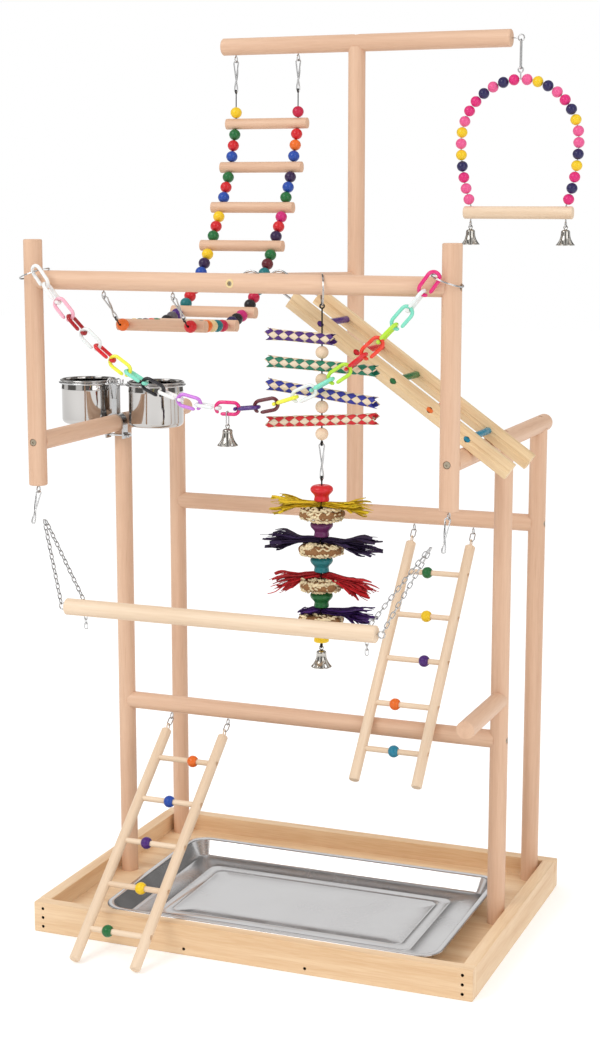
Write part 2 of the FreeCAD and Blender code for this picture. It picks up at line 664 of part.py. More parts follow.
def build_tray():
    metal = SIZE["tray_sheet"]
    top = SIZE["tray_height"]
    lean = SIZE["tray_wall_lean"]
    rim = SIZE["tray_rim_width"]
    mouth = (SIZE["tray_length"] - 2 * rim, SIZE["tray_depth"] - 2 * rim)
    corner = SIZE["tray_corner"]

    def pan(inset, low, high):
        foot_corner = max(corner - lean - inset, 2)
        foot = rounded_outline(mouth[0] - 2 * (lean + inset), mouth[1] - 2 * (lean + inset), foot_corner, low)
        head = rounded_outline(mouth[0] - 2 * inset, mouth[1] - 2 * inset, max(corner - inset, 3), high)
        return Part.makeLoft([foot, head], True, True)

    outside = rounded_outline(SIZE["tray_length"], SIZE["tray_depth"], corner + rim, top - metal)
    flange = Part.Face(outside).extrude(Vector(0, 0, metal))
    body = pan(0, 0, top).fuse(flange).cut(pan(metal, metal, top)).removeSplitter()
    border = SIZE["tray_border_width"]
    border_corner = SIZE["tray_border_corner"]
    border_length = mouth[0] - 2 * SIZE["tray_border_side"]
    border_depth = mouth[1] - 2 * SIZE["tray_border_end"]
    ridge_outer = Part.Face(rounded_outline(border_length, border_depth, border_corner, metal))
    ridge_inner = Part.Face(rounded_outline(border_length - 2 * border, border_depth - 2 * border,
                                            border_corner - border, metal))
    ridge = ridge_outer.cut(ridge_inner).extrude(Vector(0, 0, metal))
    spot = Vector(SIZE["tray_shift"], SIZE["tray_place"], SIZE["panel_thickness"] + SIZE["turn_gap"])
    node("tray", computed("tray", body.fuse(ridge).removeSplitter(), Placement(spot, Rotation())))


# ---------------------------------------------------------------- cups


def build_cups():
    level = SIZE["cup_rim_level"]
    radius = SIZE["cup_diameter"] / 2
    metal = SIZE["cup_sheet"]
    foot = -SIZE["cup_height"]
    wire = SIZE["cup_rim_wire"]
    heel = SIZE["cup_heel"]
    inner_heel = heel + metal / 2
    body = turned([(0, foot), (radius - heel, foot), (radius, foot + heel), (radius, 0), (radius - metal, 0),
                   (radius - metal, foot + inner_heel), (radius - inner_heel, foot + metal), (0, foot + metal)])
    rim = Part.makeTorus(radius + wire / 2 - metal, wire / 2)
    cup = body.fuse(rim).removeSplitter()
    for side in ("left", "right"):
        shift = -0.5 if side == "left" else 0.5
        spot = Vector(-SIZE["post_offset"] + shift * SIZE["cup_spacing"], SIZE["cup_place"], level)
        node("cup_" + side, computed("cup_" + side, cup, Placement(spot, Rotation())))


def build_cup_bracket():
    """A strap over the side perch with a bolt under it, and a ring for each cup on a cross wire."""
    middle = Vector(-SIZE["post_offset"], 0, SIZE["side_perch_level"])
    wire = SIZE["ring_wire"]
    width = SIZE["clamp_width"]
    metal = SIZE["clamp_sheet"]
    inside = DOWEL_RADIUS + SIZE["fit_gap"]
    back = SIZE["front_post_place"] - DOWEL_RADIUS - SIZE["clamp_setback"]
    leg = DOWEL_RADIUS + CLAMP_BOLT_DROP + SIZE["clamp_bolt"] + SIZE["clamp_leg_end"]
    origin = Vector(0, back - width, 0)
    arch = Part.makeCylinder(inside + metal, width, origin, Y_AXIS)
    legs = Part.makeBox(2 * (inside + metal), width, leg, Vector(-inside - metal, back - width, -leg))
    room = Part.makeCylinder(inside, width, origin, Y_AXIS)
    gap = Part.makeBox(2 * inside, width, leg, Vector(-inside, back - width, -leg))
    bolt_level = -DOWEL_RADIUS - CLAMP_BOLT_DROP
    bolt_spot = Vector(-2 * inside, back - width / 2, bolt_level)
    bore = Part.makeCylinder(SIZE["clamp_bolt"] / 2 + SIZE["turn_gap"], 4 * inside, bolt_spot, X_AXIS)
    strap = arch.fuse(legs).cut(room).cut(gap).cut(bore)
    ring_radius = SIZE["cup_diameter"] / 2 + SIZE["turn_gap"] + wire / 2 + SIZE["cup_ring_play"]
    ring_level = SIZE["cup_rim_level"] - middle.z - SIZE["cup_rim_wire"] / 2 - wire / 2 - SIZE["turn_gap"]
    offset = SIZE["cup_spacing"] / 2
    bar_place = back - width / 2
    reach = offset - math.sqrt(ring_radius ** 2 - (SIZE["cup_place"] - bar_place) ** 2)
    rings = [Part.makeTorus(ring_radius, wire / 2, Vector(s * offset, SIZE["cup_place"], ring_level)) for s in (-1, 1)]
    bar = Part.makeCylinder(wire / 2, 2 * reach, Vector(-reach, bar_place, ring_level), X_AXIS)
    plate_foot = inside + metal / 2
    plate = Part.makeBox(metal * 4, width * 0.8, ring_level - plate_foot,
                         Vector(-metal * 2, bar_place - width * 0.4, plate_foot))
    shape = strap.fuse(rings + [bar, plate]).removeSplitter()
    radius = SIZE["clamp_bolt"] / 2
    outer = inside + metal + SIZE["fit_gap"]
    spot = Vector(0, bar_place, bolt_level)
    shank = Part.makeCylinder(radius, 2 * outer + SIZE["clamp_bolt_end"], spot - X_AXIS * outer, X_AXIS)
    head_height = SIZE["clamp_bolt_head"]
    head = Part.makeCylinder(radius * BOLT_HEAD_SHARE, head_height, spot - X_AXIS * (outer + head_height), X_AXIS)
    bolt = shank.fuse(head).removeSplitter()
    node("cup_bracket", computed("cup_bracket", Part.makeCompound([shape, bolt]), Placement(middle, Rotation())))
    length = SIZE["wing_nut_length"]
    hub = Part.makeCylinder(radius * 2, length, Vector(), X_AXIS)
    span = SIZE["wing_span"]
    sheet = SIZE["wing_sheet"]
    wings = Part.makeBox(sheet, span, length, Vector((length - sheet) / 2, -span / 2, -length / 2))
    hole = Part.makeCylinder(radius + SIZE["fit_gap"], 3 * length, Vector(-length, 0, 0), X_AXIS)
    nut = hub.fuse(wings).cut(hole).removeSplitter()
    nut_spot = middle + spot + X_AXIS * (outer + SIZE["wing_nut_play"])
    node("cup_wing_nut", computed("cup_wing_nut", nut, Placement(nut_spot, Rotation())))


CLAMP_BOLT_DROP = 5.0
BOLT_HEAD_SHARE = 1.9


# ---------------------------------------------------------------- hanging pieces


def build_frame_eyes():
    """The screw eyes in the frame: a list of places and the way that each thread points."""
    top = SIZE["top_perch_level"] - DOWEL_RADIUS - EYE_DROP
    half = SIZE["bridge_string_spacing"] / 2
    ladder_half = SIZE["rail_spacing"] / 2
    spots = []
    for side in (-1, 1):
        string_x = SIZE["bridge_offset"] + side * half
        spots.append((Vector(string_x, SIZE["back_post_place"], top), Z_AXIS))
        spots.append((Vector(string_x, SIZE["hanger_place"], BRIDGE_END_LEVEL), Z_AXIS))
        spots.append((Vector(side * SIZE["post_offset"], SIZE["hanger_place"], SWING_EYE_LEVEL), Z_AXIS))
        spots.append((Vector(SIZE["low_ladder_offset"] + side * ladder_half, SIZE["front_post_place"],
                             SIZE["lower_crossbar_level"] - DOWEL_RADIUS - EYE_DROP), Z_AXIS))
        spots.append((Vector(SIZE["mid_ladder_offset"] + side * ladder_half, SIZE["back_post_place"],
                             SIZE["back_crossbar_level"] - DOWEL_RADIUS - EYE_DROP), Z_AXIS))
    eye = eye_screw()
    shapes = [moved(eye, aim(spot, direction)) for spot, direction in spots]
    shapes.append(moved(end_eye(SIZE["arch_eye_reach"]), Placement(ARCH_EYE, Rotation(Y_AXIS, -90))))
    node("screw_eyes", computed("screw_eyes", Part.makeCompound(shapes)))


def end_eye(reach):
    """An eye for the end of a perch. Its ring is turned across the thread and centred this far out."""
    radius = SIZE["eye_radius"]
    wire = SIZE["eye_wire"]
    ring = Part.makeTorus(radius, wire / 2, Vector(), Y_AXIS)
    length = reach - radius + SIZE["eye_bite"]
    shank = Part.makeCylinder(wire / 2, length, Vector(0, 0, radius))
    return ring.fuse(shank).removeSplitter()


SWING_EYE_LEVEL = SIZE["hanger_foot_level"] - EYE_DROP
BRIDGE_END_LEVEL = SIZE["front_crossbar_level"] - DOWEL_RADIUS - EYE_DROP
ARCH_EYE = Vector(SIZE["top_perch_offset"] + SIZE["top_perch_length"] / 2 + SIZE["arch_eye_reach"],
                  SIZE["back_post_place"], SIZE["top_perch_level"])
# a hook's wire hangs in the bottom of an eye's ring
HOOK_DROP = SIZE["eye_radius"] - SIZE["eye_wire"] / 2 - SIZE["snap_wire"] / 2 - SIZE["hang_gap"]


def hung_hook(eye, toward, side):
    """A snap hook that hangs in an eye and points at the next piece, and the middle of its top wire.
    side is across its loop."""
    down = (toward - eye).normalize()
    top = eye + down * HOOK_DROP
    return moved(snap_hook(), facing(top, side, down * -1)), top


def build_swing():
    """The long perch, its end eyes, and on each side a snap hook with two runs of small chain."""
    diameter = SIZE["swing_diameter"]
    bar = eased(rod("swing_rod", "swing_diameter", "swing_length", "-swing_length / 2", "swing_place",
                    "swing_level", "x"))
    node("swing_perch", bar)
    play = SIZE["hang_gap"]
    link_wire = SIZE["small_link_wire"]
    links = []
    hooks = []
    eyes = []
    for side in (-1, 1):
        hanger_eye = Vector(side * SIZE["post_offset"], SIZE["hanger_place"], SWING_EYE_LEVEL)
        end_x = side * (SIZE["swing_length"] / 2)
        ring_middle = Vector(end_x + side * EYE_DROP, SIZE["swing_place"], SIZE["swing_level"])
        eyes.append(moved(end_eye(EYE_DROP), Placement(ring_middle, Rotation(Y_AXIS, -90 * side))))
        hook, hook_top = hung_hook(hanger_eye, ring_middle, X_AXIS)
        hooks.append(hook)
        down = (ring_middle - hanger_eye).normalize()
        held = hook_top + down * (snap_foot() - (SIZE["snap_wire"] + link_wire) / 2 - play)
        apart = X_AXIS * (side * (link_wire / 2 + play))
        rise = Vector(held.x - ring_middle.x, 0, held.z - ring_middle.z).normalize()
        # the last link's end lies past the eye's wire along the run, which comes to the eye aslant
        grip = ring_middle + rise * SIZE["eye_radius"]
        past = (grip - held - apart).normalize() * ((SIZE["eye_wire"] + link_wire) / 2 + play)
        links += chain_run(held + apart, grip + past, Y_AXIS, same_ends=True)[0]
        behind = Vector(end_x - side * SIZE["swing_tail_inset"],
                        SIZE["swing_place"] + diameter / 2 + SIZE["small_link_width"], SIZE["swing_level"])
        inner, last_wire = chain_run(held - apart, behind, Y_AXIS)
        heading = (behind - held).normalize()
        links += inner
        tail = behind - heading * (link_wire + play)
        links += chain_run(tail, tail - Z_AXIS * SIZE["swing_tail"], heading.cross(last_wire))[0]
    node("swing_fittings", computed("swing_fittings", Part.makeCompound(eyes + hooks)))
    node("swing_chains", computed("swing_chains", Part.makeCompound(links)))


class ArchPath:
    """The arch's middle line on one side: a quarter circle from the top, then a slow inward arc that
    ends at the perch. Distances run down from the top."""

    def __init__(self, side):
        self.side = side
        self.radius = SIZE["arch_radius"]
        self.foot = SIZE["arch_perch_level"] + SIZE["arch_perch_diameter"] / 2 + SIZE["turn_gap"]
        self.shift = self.radius - SIZE["arch_foot_offset"]
        quarter = self.radius * math.pi / 2
        # the middle bead on each side leaves room for the wire of the crown's ring
        self.first = SIZE["string_wire"] / 2 + SIZE["bore_gap"]
        # the height under the round top that gives the beads their room
        self.drop = self.first + SIZE["arch_bead"] * SIZE["arch_bead_count"] - quarter
        self.long_radius = (self.drop ** 2 + self.shift ** 2) / (2 * self.shift)
        self.quarter = quarter
        self.spring = self.foot + self.drop
        self.centre = Vector(ARCH_EYE.x, ARCH_EYE.y, self.spring)

    def point(self, distance):
        """The point and heading at a distance from the top."""
        if distance < self.quarter:
            turn = distance / self.radius
            across, up = self.radius * math.sin(turn), self.radius * math.cos(turn)
            heading = (math.cos(turn), -math.sin(turn))
        else:
            turn = (distance - self.quarter) / self.long_radius
            across = self.radius - self.long_radius * (1 - math.cos(turn))
            up = -self.long_radius * math.sin(turn)
            heading = (-math.sin(turn), -math.cos(turn))
        spot = self.centre + Vector(self.side * across, 0, up)
        return spot, Vector(self.side * heading[0], 0, heading[1])


def bead_shape(diameter, wire):
    """A ball with a bore along Z for its wire."""
    bore = wire / 2 + SIZE["bore_gap"]
    return Part.makeSphere(diameter / 2).cut(Part.makeCylinder(bore, diameter * 2, Vector(0, 0, -diameter)))


def build_arch():
    """A beaded wire arch with a perch across its foot, hung by a snap hook from the top perch."""
    wire = SIZE["string_wire"]
    left, right = ArchPath(-1), ArchPath(1)
    bead = bead_shape(SIZE["arch_bead"] - 0.15, wire)
    beads = []
    for path in (left, right):
        for index in range(int(SIZE["arch_bead_count"])):
            spot, heading = path.point(path.first + SIZE["arch_bead"] * (index + 0.5))
            beads.append(moved(bead, aim(spot, heading)))
    node("arch_beads", computed("arch_beads", Part.makeCompound(beads)))
    turn = math.asin(left.drop / left.long_radius)
    foot_distance = left.quarter + left.long_radius * turn
    middle_distance = left.quarter + left.long_radius * turn / 2
    below = 4.0
    foot = SIZE["turn_gap"] + SIZE["arch_perch_diameter"] + below
    ring_radius = SIZE["arch_ring_radius"]

    def at(path, distance):
        return path.point(distance)[0]

    top = at(left, 0)
    eighth = left.quarter / 2
    entries = [
        [at(left, foot_distance), at(left, middle_distance), at(left, left.quarter)],
        [at(left, left.quarter), at(left, eighth), top],
        [top, at(right, eighth), at(right, right.quarter)],
        [at(right, right.quarter), at(right, middle_distance), at(right, foot_distance)],
    ]
    arch = tube(entries, wire)
    stem = SIZE["arch_bead"] / 2 + SIZE["bore_gap"] + wire / 2
    crown = [Part.makeCylinder(wire / 2, stem, top),
             Part.makeTorus(ring_radius, wire / 2, top + Z_AXIS * (stem + ring_radius), Y_AXIS)]
    feet = []
    for path in (left, right):
        feet.append(Part.makeSphere(wire / 2, at(path, foot_distance)))
        feet.append(Part.makeCylinder(wire / 2, foot, at(path, foot_distance) - Z_AXIS * foot))
        ring_spot = at(path, foot_distance) - Z_AXIS * (foot + ring_radius)
        feet.append(Part.makeTorus(ring_radius, wire / 2, ring_spot, X_AXIS))
    bent_wire = arch.fuse(crown + feet).removeSplitter()
    bar = eased(rod("arch_rod", "arch_perch_diameter", "arch_perch_length",
                    "top_perch_offset + top_perch_length / 2 + arch_eye_reach - arch_perch_length / 2",
                    "back_post_place", "arch_perch_level", "x"))
    holes = []
    for side in ("left", "right"):
        hole = rod("arch_hole_" + side, "string_wire + 2 * bore_gap", "2 * arch_perch_diameter",
                   "top_perch_offset + top_perch_length / 2 + arch_eye_reach %s arch_foot_offset"
                   % ("-" if side == "left" else "+"),
                   "back_post_place", "arch_perch_level - arch_perch_diameter")
        holes.append(hole)
    node("arch_perch", cut("arch_perch", bar, holes))
    hook_top = ARCH_EYE - Vector(0, 0, HOOK_DROP)
    hook_foot = top + Z_AXIS * (stem + 2 * ring_radius - wire / 2 - SIZE["snap_wire"] / 2 - SIZE["hang_gap"])
    length = hook_top.z - hook_foot.z + SIZE["snap_wire"]
    hook = oval_link(length, SIZE["snap_width"] - 1, SIZE["snap_wire"])
    middle = (hook_top + hook_foot) * 0.5
    hung = moved(hook, facing(middle, Y_AXIS, Z_AXIS))
    node("arch_wire", computed("arch_wire", Part.makeCompound([bent_wire, hung])))
    bell = bell_shapes()
    for name, path in (("left", left), ("right", right)):
        ring_foot = at(path, foot_distance) - Z_AXIS * (foot + 2 * ring_radius)
        lift = (wire + BELL_LOOP_WIRE) / 2 + SIZE["hang_gap"]
        spot = ring_foot + Z_AXIS * (lift - BELL_LOOP_RADIUS)
        node("arch_bell_" + name, computed("arch_bell_" + name, bell, Placement(spot, Rotation())))


# where the chain holds the ring: this far round from the ring's inner side to its front
KEY_RING_HOLD = math.radians(52)
# the slope of the chain's last link, and how far its end lies past the ring's wire
CHAIN_END_SLOPE = math.radians(53)
CHAIN_END_PLAY = 3.2


def key_ring_point(middle, angle):
    """A point on the right ring, at an angle from its inner side towards the front."""
    radius = SIZE["key_ring_radius"]
    tilt = math.radians(SIZE["key_ring_tilt"])
    inward = radius * math.cos(angle)
    return middle + Vector(-inward * math.cos(tilt), -radius * math.sin(angle), inward * math.sin(tilt))


def build_link_chain():
    """Coloured links along a hanging curve between two rings, with a bell under the lowest link."""
    ring_middle = Vector(SIZE["post_offset"] - SIZE["key_ring_pull"], SIZE["hanger_place"] - SIZE["key_ring_pull"],
                         SIZE["front_crossbar_level"] + SIZE["key_ring_rise"])
    hold = key_ring_point(ring_middle, KEY_RING_HOLD)
    outward = Vector(math.cos(CHAIN_END_SLOPE), 0, math.sin(CHAIN_END_SLOPE))
    end = hold + outward * (SIZE["key_ring_wire"] / 2 + CHAIN_END_PLAY)
    span = end.x
    sag = end.z - SIZE["chain_lowest_level"]
    low, high = sag, 100 * sag
    for _ in range(60):
        scale = (low + high) / 2
        if scale * (math.cosh(span / scale) - 1) > sag:
            low = scale
        else:
            high = scale
    lowest = SIZE["chain_lowest_level"]
    reach = scale * math.sinh(span / scale)
    count = int(SIZE["link_count"])

    def joint(index):
        distance = reach * (2 * index / count - 1)
        across = scale * math.asinh(distance / scale)
        return Vector(across, end.y, lowest + scale * (math.cosh(across / scale) - 1))

    wire = SIZE["link_wire"]
    pitch = (joint(1) - joint(0)).Length
    link = oval_link(pitch + 2 * wire + SIZE["link_gap"], SIZE["link_width"], wire)
    links = []
    for index in range(count):
        first, second = joint(index), joint(index + 1)
        roll = 90 * (index % 2)
        if index in (0, count - 1):
            roll += SIZE["chain_end_turn"]
        links.append(moved(link, aim((first + second) * 0.5, second - first, roll)))
    node("plastic_chain", computed("plastic_chain", Part.makeCompound(links)))
    middle = joint(count // 2) * 0.5 + joint(count // 2 + 1) * 0.5
    hanger_length, hanger_wire = SIZE["chain_hanger_length"], SIZE["ladder_link_wire"]
    hanger = oval_link(hanger_length, wire + 2 * hanger_wire + 2 * SIZE["bore_gap"], hanger_wire)
    hanger_top = wire - SIZE["link_width"] / 2 + hanger_wire / 2 + SIZE["hang_gap"]
    edge = middle + Vector(0, 0, hanger_top - (hanger_length - hanger_wire) / 2)
    hanger_foot = edge - Vector(0, 0, (hanger_length - hanger_wire) / 2)
    lift = (hanger_wire + BELL_LOOP_WIRE) / 2 + SIZE["hang_gap"]
    bell_spot = hanger_foot + Z_AXIS * (lift - BELL_LOOP_RADIUS)
    pieces = [moved(hanger, facing(edge, Y_AXIS, Z_AXIS)), moved(bell_shapes(), Placement(bell_spot, Rotation()))]
    node("chain_bell", computed("chain_bell", Part.makeCompound(pieces)))
    rings = []
    for side in (-1, 1):
        ring = Part.makeTorus(SIZE["key_ring_radius"], SIZE["key_ring_wire"] / 2)
        spot = Vector(side * ring_middle.x, ring_middle.y, ring_middle.z)
        rings.append(moved(ring, Placement(spot, Rotation(Y_AXIS, side * SIZE["key_ring_tilt"]))))
    node("chain_rings", computed("chain_rings", Part.makeCompound(rings)))


# ---------------------------------------------------------------- bead bridge

# The bridge falls from the top perch and comes forward to the front crossbar: the slope of each
# stretch between two rungs, in degrees below level.
BRIDGE_SLOPES = [71, 60, 54, 48, 36, 12, -3]
# Beads on each stretch.
BRIDGE_BEADS = [3, 3, 3, 3, 3, 3, 5]


def build_bridge():
    half = SIZE["bridge_string_spacing"] / 2
    bead_diameter = SIZE["bridge_bead"]
    rung_diameter = SIZE["bridge_rung_diameter"]
    points = [Vector(0, SIZE["back_post_place"] - 1.5, SIZE["bridge_top_level"])]
    headings = []
    for slope, beads in zip(BRIDGE_SLOPES, BRIDGE_BEADS):
        heading = Vector(0, -math.cos(math.radians(slope)), -math.sin(math.radians(slope)))
        headings.append(heading)
        points.append(points[-1] + heading * (rung_diameter + beads * bead_diameter + 0.4))
    wire = SIZE["bridge_string"]
    loop_radius = SIZE["string_loop_radius"]
    bead = bead_shape(bead_diameter - 0.15, wire)
    beads = []
    strings = []
    hooks = []
    string_bore = wire / 2 + 1.6 * SIZE["bore_gap"]
    rungs = []
    rod_shape = Part.makeCylinder(rung_diameter / 2, SIZE["bridge_rung_length"],
                                  Vector(-SIZE["bridge_rung_length"] / 2, 0, 0), X_AXIS)
    top_eye = Vector(0, SIZE["back_post_place"], SIZE["top_perch_level"] - DOWEL_RADIUS - EYE_DROP)
    low_eye = Vector(0, SIZE["hanger_place"], BRIDGE_END_LEVEL)
    top_heading = (points[0] - top_eye).normalize()
    loop_reach = HOOK_DROP + snap_foot() - (SIZE["snap_wire"] + wire) / 2 - SIZE["hang_gap"] + loop_radius
    string_top = top_eye + top_heading * (loop_reach + loop_radius)
    last = points[-1] + headings[-1] * (rung_diameter / 2 + bead_diameter)
    low_heading = (low_eye - last).normalize()
    string_low = low_eye - low_heading * (loop_reach + loop_radius)
    for index, point in enumerate(points):
        before = headings[index - 1] if index else top_heading
        after = headings[index] if index < len(headings) else headings[-1]
        rung = rod_shape.copy()
        rung.translate(point)
        bores = []
        for side in (-1, 1):
            spot = point + Vector(side * half, 0, 0)
            bores.append(Part.makeSphere(string_bore, spot))
            bores.append(Part.makeCylinder(string_bore, rung_diameter, spot, before * -1))
            bores.append(Part.makeCylinder(string_bore, rung_diameter, spot, after))
        rungs.append(rung.cut(bores))
    route = [string_top] + points + [last + headings[-1] * 2, string_low]
    for side in (-1, 1):
        shift = Vector(side * half, 0, 0)
        beads.append(moved(bead, aim(points[0] - top_heading * ((rung_diameter + bead_diameter) / 2) + shift,
                                     top_heading)))
        for start, heading, count in zip(points, headings, BRIDGE_BEADS):
            for index in range(int(count)):
                distance = rung_diameter / 2 + 0.2 + bead_diameter * (index + 0.5)
                beads.append(moved(bead, aim(start + heading * distance + shift, heading)))
        end_spot = points[-1] + headings[-1] * (rung_diameter + bead_diameter) * 0.5 + headings[-1] * 0.2
        beads.append(moved(bead, aim(end_spot + shift, headings[-1])))
        string = string_tube([spot + shift for spot in route], wire)
        loops = [Part.makeTorus(loop_radius, wire / 2, string_top + shift - top_heading * loop_radius, X_AXIS),
                 Part.makeTorus(loop_radius, wire / 2, string_low + shift + low_heading * loop_radius, X_AXIS)]
        strings.append(string.fuse(loops).removeSplitter())
        hooks.append(hung_hook(top_eye + shift, string_top + shift, X_AXIS)[0])
        hooks.append(hung_hook(low_eye + shift, string_low + shift, X_AXIS)[0])
    offset = Placement(Vector(SIZE["bridge_offset"], 0, 0), Rotation())
    node("bead_bridge_rungs", computed("bead_bridge_rungs", Part.makeCompound(rungs), offset))
    node("bead_bridge_beads", computed("bead_bridge_beads", Part.makeCompound(beads), offset))
    node("bead_bridge_strings", computed("bead_bridge_strings", Part.makeCompound(strings), offset))
    node("bead_bridge_hooks", computed("bead_bridge_hooks", Part.makeCompound(hooks), offset))


def string_tube(points, wire):
    """A string of straight runs joined by small tangent arcs at the points between."""
    entries = [points[0]]
    for before, corner, after in zip(points, points[1:], points[2:]):
        into = (corner - before).normalize()
        out = (after - corner).normalize()
        turn = into.getAngle(out)
        if turn < 0.01:
            continue
        back = min(3.0, (corner - before).Length * 0.4, (after - corner).Length * 0.4)
        radius = back / math.tan(turn / 2)
        start = corner - into * back
        end = corner + out * back
        inward = (out - into).normalize()
        centre = corner + inward * math.hypot(radius, back)
        middle = centre - inward * radius
        entries += [start, [start, middle, end]]
    entries.append(points[-1])
    return tube(entries, wire)


# ---------------------------------------------------------------- hanging toy

# Tilt of each woven tube about Y, in degrees, from the top tube down.
TUBE_TILTS = [3, 3, 7, -4]
# How far the raffia of each set droops at its ends, and its reach to the left and to the right.
RAFFIA_FORMS = [(4, 62, 64), (6, 76, 76), (16, 70, 74), (3, 24, 70)]
# Its width at the string, at the loofah's edge, halfway on and at its end.
RAFFIA_WIDTHS = [10, 30, 42, 50]
KNOB_NECK_SHARE = 0.55


def raffia_half(side, reach, droop):
    """One side of a raffia bundle: flat at the string, fanned out and drooping at its end."""
    flat = SIZE["raffia_gap"] - 1
    clear = SIZE["loofah_diameter"] / 2 + 1.5
    at_string = SIZE["string_wire"] / 2 + 2 * SIZE["turn_gap"]
    narrow, wide, wider, widest = RAFFIA_WIDTHS
    stations = [(at_string, flat, narrow, 0.0), (min(clear, reach), flat, wide, 0.0)]
    if reach > clear:
        stations += [((clear + reach) / 2, 2 * flat, wider, 0.45), (reach, 3 * flat, widest, 1.0)]
    wires = []
    for across, height, width, share in stations:
        level = -droop * share
        corners = []
        for sy, sz in ((1, 1), (-1, 1), (-1, -1), (1, -1)):
            corners.append(Vector(side * across, sy * width / 2, level + sz * height / 2))
        wires.append(Part.makePolygon(corners + corners[:1]))
    return Part.makeLoft(wires, True, True)


def knob_shape():
    """A turned knob: flat on top and below, and round at its waist."""
    half = SIZE["toy_knob_height"] / 2
    wide = SIZE["toy_knob_diameter"] / 2
    narrow = wide * KNOB_NECK_SHARE
    bore = SIZE["string_wire"] / 2 + SIZE["bore_gap"]
    arc = Part.Arc(Vector(narrow, 0, half), Vector(wide, 0, 0), Vector(narrow, 0, -half)).toShape()
    lines = [Vector(narrow, 0, -half), Vector(bore, 0, -half), Vector(bore, 0, half), Vector(narrow, 0, half)]
    edges = [arc] + [Part.LineSegment(a, b).toShape() for a, b in zip(lines, lines[1:])]
    return Part.Face(Part.Wire(edges)).revolve(Vector(), Z_AXIS, 360)


def build_toy():
    x, y = SIZE["toy_offset"], SIZE["hanger_place"]
    wire = SIZE["string_wire"]
    bore = wire / 2 + SIZE["bore_gap"]
    ring_level = (SIZE["front_crossbar_level"] + DOWEL_RADIUS + SIZE["turn_gap"] + SIZE["key_ring_wire"] / 2
                  - SIZE["toy_ring_radius"])
    ring = Part.makeTorus(SIZE["toy_ring_radius"], SIZE["key_ring_wire"] / 2)
    ring_turn = Rotation(Z_AXIS, SIZE["toy_ring_turn"])
    ring = moved(ring, Placement(Vector(x, y, ring_level), ring_turn.multiply(Rotation(Y_AXIS, 90))))
    pitch = SIZE["toy_pitch"]
    tubes = []
    balls = []
    ball = bead_shape(SIZE["toy_ball"], wire)
    for index, tilt in enumerate(TUBE_TILTS):
        level = SIZE["toy_top_level"] - 2 * index * pitch
        length = SIZE["toy_tube_length"] if index else SIZE["toy_short_tube_length"]
        start = -SIZE["toy_tube_length"] / 2
        body = Part.makeCylinder(SIZE["toy_tube_diameter"] / 2, length, Vector(start, 0, 0), X_AXIS)
        body.rotate(Vector(), Y_AXIS, tilt)
        body = body.cut(Part.makeCylinder(bore, 60, Vector(0, 0, -30)))
        tubes.append(moved(body, Placement(Vector(x, y, level), Rotation())))
        balls.append(moved(ball, Placement(Vector(x, y, level - pitch), Rotation())))
    node("toy_tubes", computed("toy_tubes", Part.makeCompound(tubes)))
    node("toy_balls", computed("toy_balls", Part.makeCompound(balls)))
    ring_foot = ring_level - SIZE["toy_ring_radius"]
    last_ball = SIZE["toy_top_level"] - (2 * len(TUBE_TILTS) - 1) * pitch
    loop = SIZE["string_loop_radius"]
    hook_eye = last_ball - SIZE["toy_ball"] / 2 - loop - wire / 2
    top_middle = ring_foot + (wire + SIZE["key_ring_wire"]) / 2 + SIZE["hang_gap"] - loop
    top_loop = Part.makeTorus(loop, wire / 2, Vector(x, y, top_middle), ring_turn.multVec(Y_AXIS))
    cord = Part.makeCylinder(wire / 2, top_middle - hook_eye - 2 * loop, Vector(x, y, hook_eye + loop))
    low_loop = Part.makeTorus(loop, wire / 2, Vector(x, y, hook_eye), X_AXIS)
    cord = cord.fuse([top_loop, low_loop]).removeSplitter()
    node("toy_cord", computed("toy_cord", Part.makeCompound([ring, cord])))
    hook_top = Vector(x, y, hook_eye - loop + (wire + SIZE["snap_wire"]) / 2 + SIZE["hang_gap"])
    build_toy_stack(x, y, hook_top)


